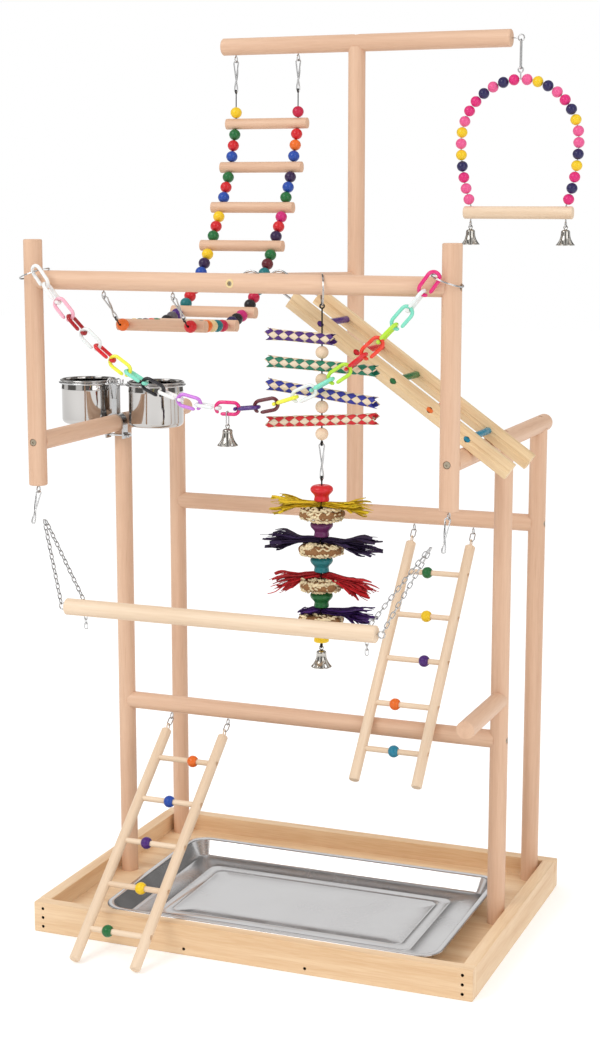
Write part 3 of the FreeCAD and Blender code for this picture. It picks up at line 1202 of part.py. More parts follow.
def build_toy_stack(x, y, hook_top):
    """A snap hook, and under it knobs, raffia bundles and loofah slices on the lower cord."""
    wire = SIZE["string_wire"]
    loop = SIZE["string_loop_radius"]
    loop_middle = hook_top.z - snap_foot() + (SIZE["snap_wire"] + wire) / 2 + SIZE["hang_gap"] - loop
    cord_top = loop_middle - loop
    bore = wire / 2 + SIZE["bore_gap"]
    knob_height = SIZE["toy_knob_height"]
    loofah_height = SIZE["loofah_height"]
    gap = SIZE["turn_gap"] / 2
    level = cord_top - SIZE["toy_knot"]
    knobs, bundles, slices = [], [], []
    knob = knob_shape()
    loofah = Part.makeCylinder(SIZE["loofah_diameter"] / 2, loofah_height, Vector(0, 0, -loofah_height / 2))
    loofah = loofah.makeFillet(3, [loofah.Edges[0], loofah.Edges[2]])
    loofah = loofah.cut(Part.makeCylinder(bore, loofah_height * 2, Vector(0, 0, -loofah_height)))
    count = int(SIZE["toy_set_count"])
    for index in range(count + 1):
        knobs.append(moved(knob, Placement(Vector(x, y, level - knob_height / 2), Rotation())))
        level -= knob_height
        if index == count:
            break
        droop, left, right = RAFFIA_FORMS[index % len(RAFFIA_FORMS)]
        middle = Vector(x, y, level - SIZE["raffia_gap"] / 2)
        for side, reach in ((-1, left), (1, right)):
            bundles.append(moved(raffia_half(side, reach, droop), Placement(middle, Rotation())))
        level -= SIZE["raffia_gap"]
        slices.append(moved(loofah, Placement(Vector(x, y, level - gap - loofah_height / 2), Rotation())))
        level -= loofah_height + 2 * gap
    loop_spot = Vector(x, y, level - wire - loop)
    cord = Part.makeCylinder(wire / 2, cord_top - level + wire, Vector(x, y, level - wire))
    top_loop = Part.makeTorus(loop, wire / 2, Vector(x, y, loop_middle), X_AXIS)
    low_loop = Part.makeTorus(loop, wire / 2, loop_spot, X_AXIS)
    cord = cord.fuse([top_loop, low_loop]).removeSplitter()
    hook = moved(snap_hook(), Placement(hook_top, Rotation()))
    node("toy_low_cord", computed("toy_low_cord", Part.makeCompound([hook, cord])))
    node("toy_knobs", computed("toy_knobs", Part.makeCompound(knobs)))
    node("toy_raffia", computed("toy_raffia", Part.makeCompound(bundles)))
    node("toy_loofahs", computed("toy_loofahs", Part.makeCompound(slices)))
    lift = (wire + BELL_LOOP_WIRE) / 2 + SIZE["hang_gap"]
    bell_spot = loop_spot - Z_AXIS * (loop - lift + BELL_LOOP_RADIUS)
    node("toy_bell", computed("toy_bell", bell_shapes(), Placement(bell_spot, Rotation())))


# ---------------------------------------------------------------- ladders and ramp


def build_ladder(name, place_on_frame):
    """Two rails with rungs, a loose bead on each rung, and two eyes with links at the top. It is made
    with its rails straight down from the hinge line and then set at its lean."""
    half = SIZE["rail_spacing"] / 2
    radius = SIZE["rail_diameter"] / 2
    top = -LADDER_HEAD
    rails = []
    for side in ("left", "right"):
        sign = "-" if side == "left" else ""
        rail = eased(rod("%s_rail_%s" % (name, side), "rail_diameter", "rail_length", sign + "rail_spacing / 2", "0",
                         "-rail_length"))
        holes = []
        for index in range(int(SIZE["ladder_rung_count"])):
            level = "-first_rung_inset - %d * rung_pitch" % index
            holes.append(rod("%s_hole_%s_%d" % (name, side, index), "rung_diameter + 2 * fit_gap",
                             "2 * rail_diameter", sign + "rail_spacing / 2 - rail_diameter", "0", level, "x"))
        holes.append(rod("%s_pilot_%s" % (name, side), "eye_wire", "eye_bite", sign + "rail_spacing / 2", "0",
                         "-eye_bite"))
        rails.append(cut("%s_rail_bored_%s" % (name, side), rail, holes))
    rungs = []
    beads = []
    bead = bead_shape(SIZE["ladder_bead"], SIZE["rung_diameter"])
    for index in range(int(SIZE["ladder_rung_count"])):
        level = "-first_rung_inset - %d * rung_pitch" % index
        rungs.append(rod("%s_rung_%d" % (name, index), "rung_diameter", "rail_spacing + rail_diameter / 2",
                         "-(rail_spacing + rail_diameter / 2) / 2", "0", level, "x"))
        depth = -SIZE["first_rung_inset"] - index * SIZE["rung_pitch"]
        shift = BEAD_SHIFTS[name][index % 5]
        beads.append(moved(bead, Placement(Vector(shift, 0, depth), Rotation(Y_AXIS, 90))))
    eyes = []
    link_length, link_wire = SIZE["ladder_link_length"], SIZE["ladder_link_wire"]
    link = oval_link(link_length, SIZE["ladder_link_width"], link_wire)
    for side in (-1, 1):
        eye_spot = Vector(side * half, 0, EYE_DROP)
        eyes.append(moved(eye_screw(), Placement(eye_spot, Rotation(X_AXIS, 180))))
        link_spot = eye_spot + Z_AXIS * (LADDER_HINGE_DROP + (link_length - link_wire) / 2)
        eyes.append(moved(link, Placement(link_spot, Rotation())))
    parts = {
        "rails": group(name + "_rails", rails + [computed(name + "_hooks", Part.makeCompound(eyes))]),
        "rungs": group(name + "_rungs", rungs),
        "beads": computed(name + "_beads", Part.makeCompound(beads)),
    }
    for kind, item in parts.items():
        item.Placement = place_on_frame
        node("%s_%s" % (name, kind), item)


# Each loose bead's place on its rung, to the side of the ladder's middle, from the top rung down.
BEAD_SHIFTS = {"low_ladder": [14, 2, -8, 10, -14], "mid_ladder": [-10, 4, 16, -12, 2]}
# The hinge line, inside the frame's eyes, is this far above the rails' tops.
LADDER_HINGE_DROP = SIZE["eye_radius"] - (SIZE["eye_wire"] + SIZE["ladder_link_wire"]) / 2 - SIZE["hang_gap"]
LADDER_HEAD = EYE_DROP + LADDER_HINGE_DROP + SIZE["ladder_link_length"] - SIZE["ladder_link_wire"]


def ladder_placement(offset, y, crossbar_level, lean):
    """Sets a ladder so that its links hang in the frame's eyes, at a lean to the front."""
    hinge = Vector(offset, y, crossbar_level - DOWEL_RADIUS - EYE_DROP - LADDER_HINGE_DROP)
    turn = Rotation(X_AXIS, -lean)
    return Placement(hinge + turn.multVec(Vector(0, 0, -LADDER_HEAD)), turn)


def mid_ladder_lean():
    """The lean at which the upper ladder lies on the lower crossbar."""
    hinge_level = SIZE["back_crossbar_level"] - DOWEL_RADIUS - EYE_DROP - LADDER_HINGE_DROP
    back = SIZE["back_post_place"] - SIZE["front_post_place"]
    down = hinge_level - SIZE["lower_crossbar_level"]
    distance = math.hypot(back, down)
    clear = DOWEL_RADIUS + SIZE["rail_diameter"] / 2 + SIZE["rest_gap"]
    return math.degrees(math.atan2(back, down) + math.asin(clear / distance))


def low_ladder_lean():
    """The lean at which the low ladder's feet stand on the ground."""
    hinge_level = SIZE["lower_crossbar_level"] - DOWEL_RADIUS - EYE_DROP - LADDER_HINGE_DROP
    reach = LADDER_HEAD + SIZE["rail_length"]
    radius = SIZE["rail_diameter"] / 2
    low, high = 20.0, 80.0
    for _ in range(60):
        lean = (low + high) / 2
        turn = math.radians(lean)
        foot = hinge_level - reach * math.cos(turn) - radius * math.sin(turn)
        if foot < SIZE["rest_gap"]:
            low = lean
        else:
            high = lean
    return lean


def build_ramp():
    """Two flat rails with coloured rungs. Wire hooks hang it on the centre perch, and its lower end
    lies on the right side perch."""
    slope = SIZE["ramp_slope"]
    turn = Rotation(Y_AXIS, slope)
    along = turn.multVec(X_AXIS)
    up = turn.multVec(Z_AXIS)
    side_perch = Vector(SIZE["post_offset"], 0, SIZE["side_perch_level"])
    clear = DOWEL_RADIUS + SIZE["ramp_rail_height"] / 2 + SIZE["rest_gap"]
    contact = side_perch + up * clear
    head = contact + along * ((SIZE["ramp_head_offset"] - contact.x) / along.x)
    rails = []
    hooks = []
    height = SIZE["ramp_rail_height"]
    thick = SIZE["ramp_rail_thickness"]
    wire = SIZE["ramp_hook_wire"]
    length = SIZE["ramp_length"]
    for row in ("front", "back"):
        y = SIZE["ramp_%s_place" % row]
        rail = Part.makeBox(length, thick, height, Vector(0, -thick / 2, -height / 2))
        rail = rail.makeFillet(1.5, [edge for edge in rail.Edges if edge.Length > length - 1])
        for index in range(int(SIZE["ramp_rung_count"])):
            spot = Vector(SIZE["ramp_first_rung"] + index * SIZE["ramp_rung_pitch"], -thick, 0)
            bore = SIZE["ramp_rung_diameter"] / 2 + SIZE["fit_gap"]
            rail = rail.cut(Part.makeCylinder(bore, 2 * thick, spot, Y_AXIS))
        rails.append(moved(rail, Placement(Vector(head.x, y, head.z), turn)))
        share = (y - SIZE["hanger_place"]) / (SIZE["back_post_place"] - SIZE["hanger_place"])
        perch = Vector(0, y, SIZE["front_crossbar_level"] - share * SIZE["centre_perch_drop"])
        start = Vector(head.x, y, head.z)
        hooks.append(ramp_hook(start, along, perch, wire))
    node("ramp_rails", computed("ramp_rails", Part.makeCompound(rails)))
    node("ramp_hooks", computed("ramp_hooks", Part.makeCompound(hooks)))
    rung_start = SIZE["ramp_front_place"] - thick / 2
    rung_length = SIZE["ramp_back_place"] - SIZE["ramp_front_place"] + thick
    rungs = []
    for index in range(int(SIZE["ramp_rung_count"])):
        spot = head + along * (SIZE["ramp_first_rung"] + index * SIZE["ramp_rung_pitch"])
        spot.y = rung_start
        rungs.append(Part.makeCylinder(SIZE["ramp_rung_diameter"] / 2, rung_length, spot, Y_AXIS))
    node("ramp_rungs", computed("ramp_rungs", Part.makeCompound(rungs)))


def ramp_hook(start, along, perch, wire):
    """A wire from the rail's end, over the perch and down its far side. The straight part meets the
    round part as a tangent."""
    bend = DOWEL_RADIUS + SIZE["turn_gap"] + wire / 2 + SIZE["ramp_hook_play"]
    towards = start - perch
    distance = towards.Length
    base_angle = math.atan2(towards.z, towards.x)
    touch = base_angle + math.acos(bend / distance)

    def rim(angle):
        return perch + Vector(bend * math.cos(angle), 0, bend * math.sin(angle))

    wrap = math.radians(170)
    arc = [rim(touch), rim(touch + wrap / 2), rim(touch + wrap)]
    inside = start + (start - arc[0]).normalize() * 12
    return tube([inside, arc[0], arc], wire)


# ---------------------------------------------------------------- the whole stand


def build_all():
    build_base()
    build_frame()
    build_nails()
    build_tray()
    build_cups()
    build_cup_bracket()
    build_frame_eyes()
    build_swing()
    build_arch()
    build_link_chain()
    build_bridge()
    build_toy()
    build_ladder("low_ladder", ladder_placement(SIZE["low_ladder_offset"], SIZE["front_post_place"],
                                                SIZE["lower_crossbar_level"], low_ladder_lean()))
    build_ladder("mid_ladder", ladder_placement(SIZE["mid_ladder_offset"], SIZE["back_post_place"],
                                                SIZE["back_crossbar_level"], mid_ladder_lean()))
    build_ramp()
    node("frame_screws", group("frame_screws", SCREWS))


def check_and_export():
    doc.recompute()
    for item in doc.Objects:
        if "Invalid" in item.State or "Error" in item.State:
            raise RuntimeError("%s is %s" % (item.Label, item.State))
    for label, item in nodes.items():
        if item.Shape.isNull() or not item.Shape.isValid() or not item.Shape.Solids:
            raise RuntimeError("%s has no valid solid" % label)
    os.makedirs("parts", exist_ok=True)
    for label, item in nodes.items():
        item.Shape.exportStep("parts/%s.step" % label)
        print("%-22s %3d solids %12.1f mm3" % (label, len(item.Shape.Solids), item.Shape.Volume))
    print("%d pieces' files" % len(nodes))


build_all()
check_and_export()
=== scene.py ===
"""Parrot play stand, dressed: wood, steel, beads, plastic links, woven tubes, raffia and loofah.

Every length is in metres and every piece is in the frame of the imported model: +X to the right, +Y to
the back, +Z up, with the origin under the middle of the base. New pieces are numpy surfaces that take
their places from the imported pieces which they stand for.
"""
from __future__ import annotations

import json
import logging
import math
from dataclasses import dataclass, field
from enum import Enum
from typing import Callable

import bmesh
import bpy
import numpy as np
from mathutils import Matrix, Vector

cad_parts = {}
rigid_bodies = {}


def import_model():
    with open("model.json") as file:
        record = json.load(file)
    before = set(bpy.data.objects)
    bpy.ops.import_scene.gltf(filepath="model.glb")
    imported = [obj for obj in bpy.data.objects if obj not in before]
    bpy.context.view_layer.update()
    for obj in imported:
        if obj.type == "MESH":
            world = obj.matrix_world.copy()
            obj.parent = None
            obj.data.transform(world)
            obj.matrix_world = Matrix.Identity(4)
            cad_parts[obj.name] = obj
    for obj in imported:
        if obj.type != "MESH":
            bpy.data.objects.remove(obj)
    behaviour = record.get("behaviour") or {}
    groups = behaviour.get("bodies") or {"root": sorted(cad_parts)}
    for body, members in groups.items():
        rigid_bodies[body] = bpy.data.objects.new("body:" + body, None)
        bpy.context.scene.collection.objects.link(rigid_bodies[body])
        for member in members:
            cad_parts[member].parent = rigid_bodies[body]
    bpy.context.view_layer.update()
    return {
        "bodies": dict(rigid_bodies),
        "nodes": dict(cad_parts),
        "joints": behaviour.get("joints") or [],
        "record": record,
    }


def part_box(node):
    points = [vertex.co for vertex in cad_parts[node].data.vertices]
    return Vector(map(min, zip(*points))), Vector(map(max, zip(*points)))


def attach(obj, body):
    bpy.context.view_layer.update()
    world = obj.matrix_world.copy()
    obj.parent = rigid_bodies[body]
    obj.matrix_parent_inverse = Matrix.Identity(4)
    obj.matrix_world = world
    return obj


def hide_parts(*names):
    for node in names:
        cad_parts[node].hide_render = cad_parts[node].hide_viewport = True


LOG = logging.getLogger("parrot_play_stand")
MM = 0.001
WIRE = 1.0 * MM  # radius of the hooks' and rings' wire
STRING_BORE = 1.6 * MM  # radius of the hole for a string
TURN = 2 * np.pi

Colour = tuple[float, float, float]


# ---------------------------------------------------------------- colours and choices


def srgb(red: int, green: int, blue: int) -> Colour:
    """A linear colour from its 0 to 255 screen values."""
    def linear(value: int) -> float:
        share = value / 255
        return share / 12.92 if share <= 0.04045 else ((share + 0.055) / 1.055) ** 2.4
    return linear(red), linear(green), linear(blue)


class Stain(Enum):
    """Stains and dyes of the beads, knobs, rungs, links, tubes and raffia."""

    NATURAL = srgb(226, 190, 152)
    YELLOW = srgb(246, 205, 20)
    ORANGE = srgb(238, 110, 22)
    RED = srgb(212, 20, 32)
    CRIMSON = srgb(200, 16, 66)
    HOT_PINK = srgb(226, 32, 120)
    PINK = srgb(238, 92, 150)
    MAGENTA = srgb(206, 24, 116)
    NAVY = srgb(32, 26, 84)
    BLUE = srgb(26, 74, 170)
    ROYAL = srgb(36, 44, 150)
    TEAL = srgb(12, 116, 122)
    SEA = srgb(20, 130, 160)
    GREEN = srgb(20, 108, 52)
    JADE = srgb(0, 122, 92)
    PURPLE = srgb(72, 24, 118)
    DARK_PURPLE = srgb(44, 18, 70)
    PLUM = srgb(100, 26, 86)
    MAROON = srgb(98, 20, 34)
    CREAM = srgb(232, 206, 150)
    BLACK = srgb(22, 20, 26)
    GREY = srgb(92, 84, 92)
    WHITE = srgb(240, 240, 238)
    CLEAR = srgb(232, 236, 234)
    PALE_PINK = srgb(244, 178, 196)
    DARK_RED = srgb(164, 16, 26)
    MINT = srgb(130, 222, 196)
    LEMON = srgb(240, 240, 70)
    LAVENDER = srgb(204, 124, 220)
    LIME = srgb(182, 226, 52)
    ORANGE_RED = srgb(234, 60, 34)


class Grain(Enum):
    """The row axis that a piece's fibres follow."""

    X = 0
    Y = 1
    Z = 2


# ---------------------------------------------------------------- mesh arrays


@dataclass
class Patch:
    """A part of a mesh as plain arrays: points, four-cornered and three-cornered faces and their UVs."""

    points: np.ndarray
    quads: np.ndarray
    quad_uv: np.ndarray
    tris: np.ndarray = field(default_factory=lambda: np.zeros((0, 3), int))
    tri_uv: np.ndarray = field(default_factory=lambda: np.zeros((0, 3, 2)))
    tint: Colour | np.ndarray = (1.0, 1.0, 1.0)

    def placed(self, origin: np.ndarray, axes: np.ndarray) -> Patch:
        """The patch carried into a place.

        Args:
            origin: where the patch's own origin goes.
            axes: three rows, where its X, Y and Z directions go.

        Returns:
            A new patch with the same faces.
        """
        points = self.points @ np.asarray(axes) + np.asarray(origin)
        return Patch(points, self.quads, self.quad_uv, self.tris, self.tri_uv, self.tint)

    def tinted(self, colour: Colour | np.ndarray) -> Patch:
        """The same patch with another tint, one colour or one for each point."""
        return Patch(self.points, self.quads, self.quad_uv, self.tris, self.tri_uv, colour)


def sheet(points: np.ndarray, uv: np.ndarray, wrap_rows: bool = False, wrap_columns: bool = False,
          keep: np.ndarray | None = None) -> Patch:
    """A grid of points joined by quads.

    Args:
        points: rows by columns by 3. uv: the same with one more row or column where that way wraps.
        wrap_rows: the last row joins the first. wrap_columns: the last column joins the first.
        keep: a mask over the quads, to leave some out.

    Returns:
        The patch, with outward faces where rows run anticlockwise as seen along the columns.
    """
    rows, columns = points.shape[:2]
    row = np.arange(rows if wrap_rows else rows - 1)
    column = np.arange(columns if wrap_columns else columns - 1)
    r, c = np.meshgrid(row, column, indexing="ij")
    r1, c1 = (r + 1) % rows, (c + 1) % columns
    quads = np.stack([r * columns + c, r1 * columns + c, r1 * columns + c1, r * columns + c1], -1).reshape(-1,
                                                                                                           4)
    quad_uv = np.stack([uv[r, c], uv[r + 1, c], uv[r + 1, c + 1], uv[r, c + 1]], -2).reshape(-1, 4, 2)
    if keep is not None:
        quads, quad_uv = quads[keep.reshape(-1)], quad_uv[keep.reshape(-1)]
    return Patch(points.reshape(-1, 3), quads, quad_uv)


def fan(ring: np.ndarray, middle: int, inward: bool = False) -> np.ndarray:
    """Triangles from a ring of point numbers to a middle point, turned the other way if inward."""
    after = np.roll(ring, -1)
    return np.stack([np.full(len(ring), middle), *((after, ring) if inward else (ring, after))], -1)


def grid_uv(along: np.ndarray, around: np.ndarray) -> np.ndarray:
    """UVs of a grid: each row's own U with each column's own V."""
    return np.stack(np.meshgrid(along, around, indexing="ij"), -1)


def running_length(line: np.ndarray) -> np.ndarray:
    """The length of a line of points up to each point."""
    return np.concatenate([[0], np.cumsum(np.linalg.norm(np.diff(line, axis=0), axis=1))])


def lathe(profile: np.ndarray, segments: int = 32, closed: bool = False) -> Patch:
    """A surface of revolution about Z: (r cos a, r sin a, z) for each profile point and angle a.

    Args:
        profile: (radius, height) rows, from the lowest pole round the outside to the upper one, or a
            loop. Where it isn't a loop, both ends get a disc if their radius isn't zero.
        segments: steps round the axis. closed: the profile is a loop.

    Returns:
        A closed patch with UVs in metres: U along the profile, V round it.
    """
    profile = np.asarray(profile, float)
    angle = np.linspace(0, TURN, segments, endpoint=False)
    radius, height = profile[:, :1], profile[:, 1:]
    points = np.stack([radius * np.cos(angle), radius * np.sin(angle), height + 0 * angle], -1)
    loop = np.vstack([profile, profile[:1]]) if closed else profile
    along = running_length(loop)
    around = np.linspace(0, 2 * np.pi * profile[:, 0].max(), segments + 1)
    uv = grid_uv(along, around)
    # the columns turn with the angle, so faces point outwards with the rows as the second way
    patch = sheet(points.transpose(1, 0, 2), uv.transpose(1, 0, 2), wrap_rows=True, wrap_columns=closed)
    if closed:
        return patch
    count = len(profile)
    low, high = np.arange(segments) * count, np.arange(segments) * count + count - 1
    poles = np.array([[0, 0, profile[0, 1]], [0, 0, profile[-1, 1]]])
    first = len(patch.points)
    tris = np.vstack([fan(low, first, inward=True), fan(high, first + 1)])
    spread = np.vstack([patch.points, poles])[tris][..., :2]
    return Patch(np.vstack([patch.points, poles]), patch.quads, patch.quad_uv, tris, spread)


def swept(path: np.ndarray, radius: float | np.ndarray, sides: int = 8, closed: bool = False,
          hint: tuple[float, float, float] = (0, 0, 1), flat: float = 1.0) -> Patch:
    """A round or flattened section carried along a path.

    Each ring lies across the path's direction, with one axis as near to the hint as that allows. Where
    the path isn't closed its ends are closed with a fan.

    Args:
        path: the middle line's points. radius: one for all, or one for each point.
        sides: corners of the section. closed: the path is a loop. hint: the section's upward way.
        flat: the section's height across the hint, as a share of its width.

    Returns:
        The patch, with UVs in metres: U along the path, V round it.
    """
    path = np.asarray(path, float)
    if closed:
        heading = np.roll(path, -1, 0) - np.roll(path, 1, 0)
    else:
        heading = np.gradient(path, axis=0)
    heading /= np.linalg.norm(heading, axis=1, keepdims=True)
    across = np.cross(heading, np.asarray(hint, float))
    across /= np.linalg.norm(across, axis=1, keepdims=True)
    up = np.cross(across, heading)
    angle = np.linspace(0, TURN, sides, endpoint=False)
    size = np.broadcast_to(np.asarray(radius, float), len(path))[:, None, None]
    ring = across[:, None] * np.cos(angle)[:, None] * flat + up[:, None] * np.sin(angle)[:, None]
    points = path[:, None] + ring * size
    loop = np.vstack([path, path[:1]]) if closed else path
    along = running_length(loop)
    around = np.linspace(0, 2 * np.pi * float(np.max(size)), sides + 1)
    uv = grid_uv(along, around)
    patch = sheet(points.transpose(1, 0, 2), uv.transpose(1, 0, 2), wrap_rows=True, wrap_columns=closed)
    if closed:
        return patch
    count = len(path)
    low, high = np.arange(sides) * count, np.arange(sides) * count + count - 1
    first = len(patch.points)
    tris = np.vstack([fan(low, first, inward=True), fan(high, first + 1)])
    return Patch(np.vstack([patch.points, path[:1], path[-1:]]), patch.quads, patch.quad_uv, tris,
                 np.zeros((len(tris), 3, 2)))


def facing(direction: np.ndarray, side: tuple[float, float, float] = (1, 0, 0)) -> np.ndarray:
    """Three rows: axes whose Z is the direction and whose X is as near to the side as that allows."""
    z = np.asarray(direction, float) / np.linalg.norm(direction)
    y = np.cross(z, np.asarray(side, float))
    y /= np.linalg.norm(y)
    return np.array([np.cross(y, z), y, z])


def arc(centre: tuple[float, float], radius: float, start: float, end: float, steps: int) -> np.ndarray:
    """Points on a circle in a plane: centre + radius (cos a, sin a), with a in degrees."""
    angle = np.radians(np.linspace(start, end, steps))
    return np.array(centre) + radius * np.stack([np.cos(angle), np.sin(angle)], -1)


def oval(length: float, width: float, steps: int = 10) -> np.ndarray:
    """A closed middle line in the XZ plane: two straights along Z joined by half circles."""
    bend, straight = width / 2, (length - width) / 2
    top = arc((0, straight), bend, 0, 180, steps)
    foot = arc((0, -straight), bend, 180, 360, steps)
    flat_line = np.vstack([top, foot])
    return np.stack([flat_line[:, 0], np.zeros(len(flat_line)), flat_line[:, 1]], -1)


def make_object(name: str, patches: list[Patch], body: str, nodes: tuple[str, ...],
                material: bpy.types.Material, sharp: float = 40.0) -> bpy.types.Object:
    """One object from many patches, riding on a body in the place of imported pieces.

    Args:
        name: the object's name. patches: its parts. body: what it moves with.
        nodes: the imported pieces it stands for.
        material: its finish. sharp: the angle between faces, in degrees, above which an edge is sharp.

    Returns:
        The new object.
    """
    offsets = np.cumsum([0] + [len(p.points) for p in patches[:-1]])
    points = np.vstack([p.points for p in patches])
    quads = np.vstack([p.quads + o for p, o in zip(patches, offsets)])
    tris = np.vstack([p.tris + o for p, o in zip(patches, offsets)])
    mesh = bpy.data.meshes.new(name)
    mesh.from_pydata(points.tolist(), [], quads.tolist() + tris.tolist())
    uv = np.concatenate([p.quad_uv.reshape(-1, 2) for p in patches] + [p.tri_uv.reshape(-1,
                                                                                        2) for p in patches])
    mesh.uv_layers.new(name="UVMap").data.foreach_set("uv", uv.astype(np.float32).ravel())
    tints = [np.broadcast_to(np.asarray(p.tint, float), (len(p.points), 3)) for p in patches]
    colour = np.ones((len(points), 4), np.float32)
    colour[:, :3] = np.vstack(tints)
    layer = mesh.color_attributes.new(name="tint", type="FLOAT_COLOR", domain="POINT")
    layer.data.foreach_set("color", colour.ravel())
    mesh.validate()
    return finish_object(name, mesh, body, nodes, material, sharp)


def finish_object(name: str, mesh: bpy.types.Mesh, body: str, nodes: tuple[str, ...],
                  material: bpy.types.Material, sharp: float = 40.0) -> bpy.types.Object:
    """Links a mesh as an object, smooths it up to a sharp angle, parents it and hides what it stands for."""
    mesh.materials.append(material)
    mesh.polygons.foreach_set("use_smooth", np.ones(len(mesh.polygons), bool))
    mesh.set_sharp_from_angle(angle=math.radians(sharp))
    piece = bpy.data.objects.new(name, mesh)
    bpy.context.scene.collection.objects.link(piece)
    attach(piece, body)
    if nodes:
        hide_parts(*nodes)
    LOG.info("%s: %d faces on %s", name, len(mesh.polygons), body)
    return piece


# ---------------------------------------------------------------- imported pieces


@dataclass(frozen=True)
class Island:
    """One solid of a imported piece: its points, faces, box centre and principal directions."""

    points: np.ndarray
    tris: np.ndarray

    @property
    def box(self) -> tuple[np.ndarray, np.ndarray]:
        """Its box's low and high corners."""
        return self.points.min(0), self.points.max(0)

    @property
    def centre(self) -> np.ndarray:
        """The middle of its box."""
        low, high = self.box
        return (low + high) / 2

    @property
    def axes(self) -> np.ndarray:
        """Unit rows from the longest principal direction to the shortest, each pointing up or right."""
        spread = self.points - self.points.mean(0)
        _, vectors = np.linalg.eigh(spread.T @ spread)
        rows = vectors.T[::-1]
        lead = np.where(np.abs(rows[:, 2]) > 0.05, rows[:, 2], rows[:, 0] + rows[:, 1] * 0.1)
        return rows * np.sign(lead)[:, None]

    @property
    def upright(self) -> np.ndarray:
        """Unit rows whose Z is the longest principal direction and whose X is the next."""
        axes = self.axes
        return np.array([axes[1], np.cross(axes[0], axes[1]), axes[0]])

    @property
    def middle(self) -> np.ndarray:
        """The middle of its reach along its own principal directions."""
        axes = self.axes
        own = self.points @ axes.T
        return (own.min(0) + own.max(0)) / 2 @ axes

    def reach(self) -> np.ndarray:
        """Its lengths along its own principal directions."""
        return np.ptp(self.points @ self.axes.T, axis=0)


class Packed:
    """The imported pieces, read as welded arrays and split into their solids."""

    def __init__(self, frame: dict) -> None:
        """Keeps the loaded frame's objects."""
        self.objects = frame["nodes"]

    def solids(self, name: str) -> list[Island]:
        """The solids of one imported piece, from the highest to the lowest.

        Equal corners are welded, then each corner takes the least label among its neighbours until
        nothing changes, so a label marks one solid.
        """
        mesh = self.objects[name].data
        points = np.zeros(len(mesh.vertices) * 3, np.float32)
        mesh.vertices.foreach_get("co", points)
        corners = np.zeros(len(mesh.loops), np.int32)
        mesh.loops.foreach_get("vertex_index", corners)
        points = points.reshape(-1, 3).astype(float)
        _, first, inverse = np.unique(np.round(points * 1e6).astype(np.int64), axis=0, return_index=True,
                                      return_inverse=True)
        tris = inverse.reshape(-1)[corners].reshape(-1, 3)
        points = points[first]
        label = np.arange(len(points))
        while True:
            least = label[tris].min(1)
            update = label.copy()
            np.minimum.at(update, tris.ravel(), np.repeat(least, 3))
            update = update[update]
            if np.array_equal(update, label):
                break
            label = update
        islands = []
        for mark in np.unique(label[tris[:, 0]]):
            mine = tris[label[tris[:, 0]] == mark]
            used, local = np.unique(mine, return_inverse=True)
            islands.append(Island(points[used], local.reshape(-1, 3)))
        return sorted(islands, key=lambda island: -island.centre[2])


def solid_mesh(name: str, islands: list[Island]) -> bpy.types.Mesh:
    """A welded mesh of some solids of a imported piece, with UVs in metres from its longest direction."""
    offsets = np.cumsum([0] + [len(i.points) for i in islands[:-1]])
    points = np.vstack([i.points for i in islands])
    tris = np.vstack([i.tris + o for i, o in zip(islands, offsets)])
    mesh = bpy.data.meshes.new(name)
    mesh.from_pydata(points.tolist(), [], tris.tolist())
    flat = np.vstack([(i.points - i.middle) @ i.axes.T[:, :2] for i in islands])
    mesh.uv_layers.new(name="UVMap").data.foreach_set("uv", flat[tris].astype(np.float32).ravel())
    mesh.validate()
    return mesh


# ---------------------------------------------------------------- node groups


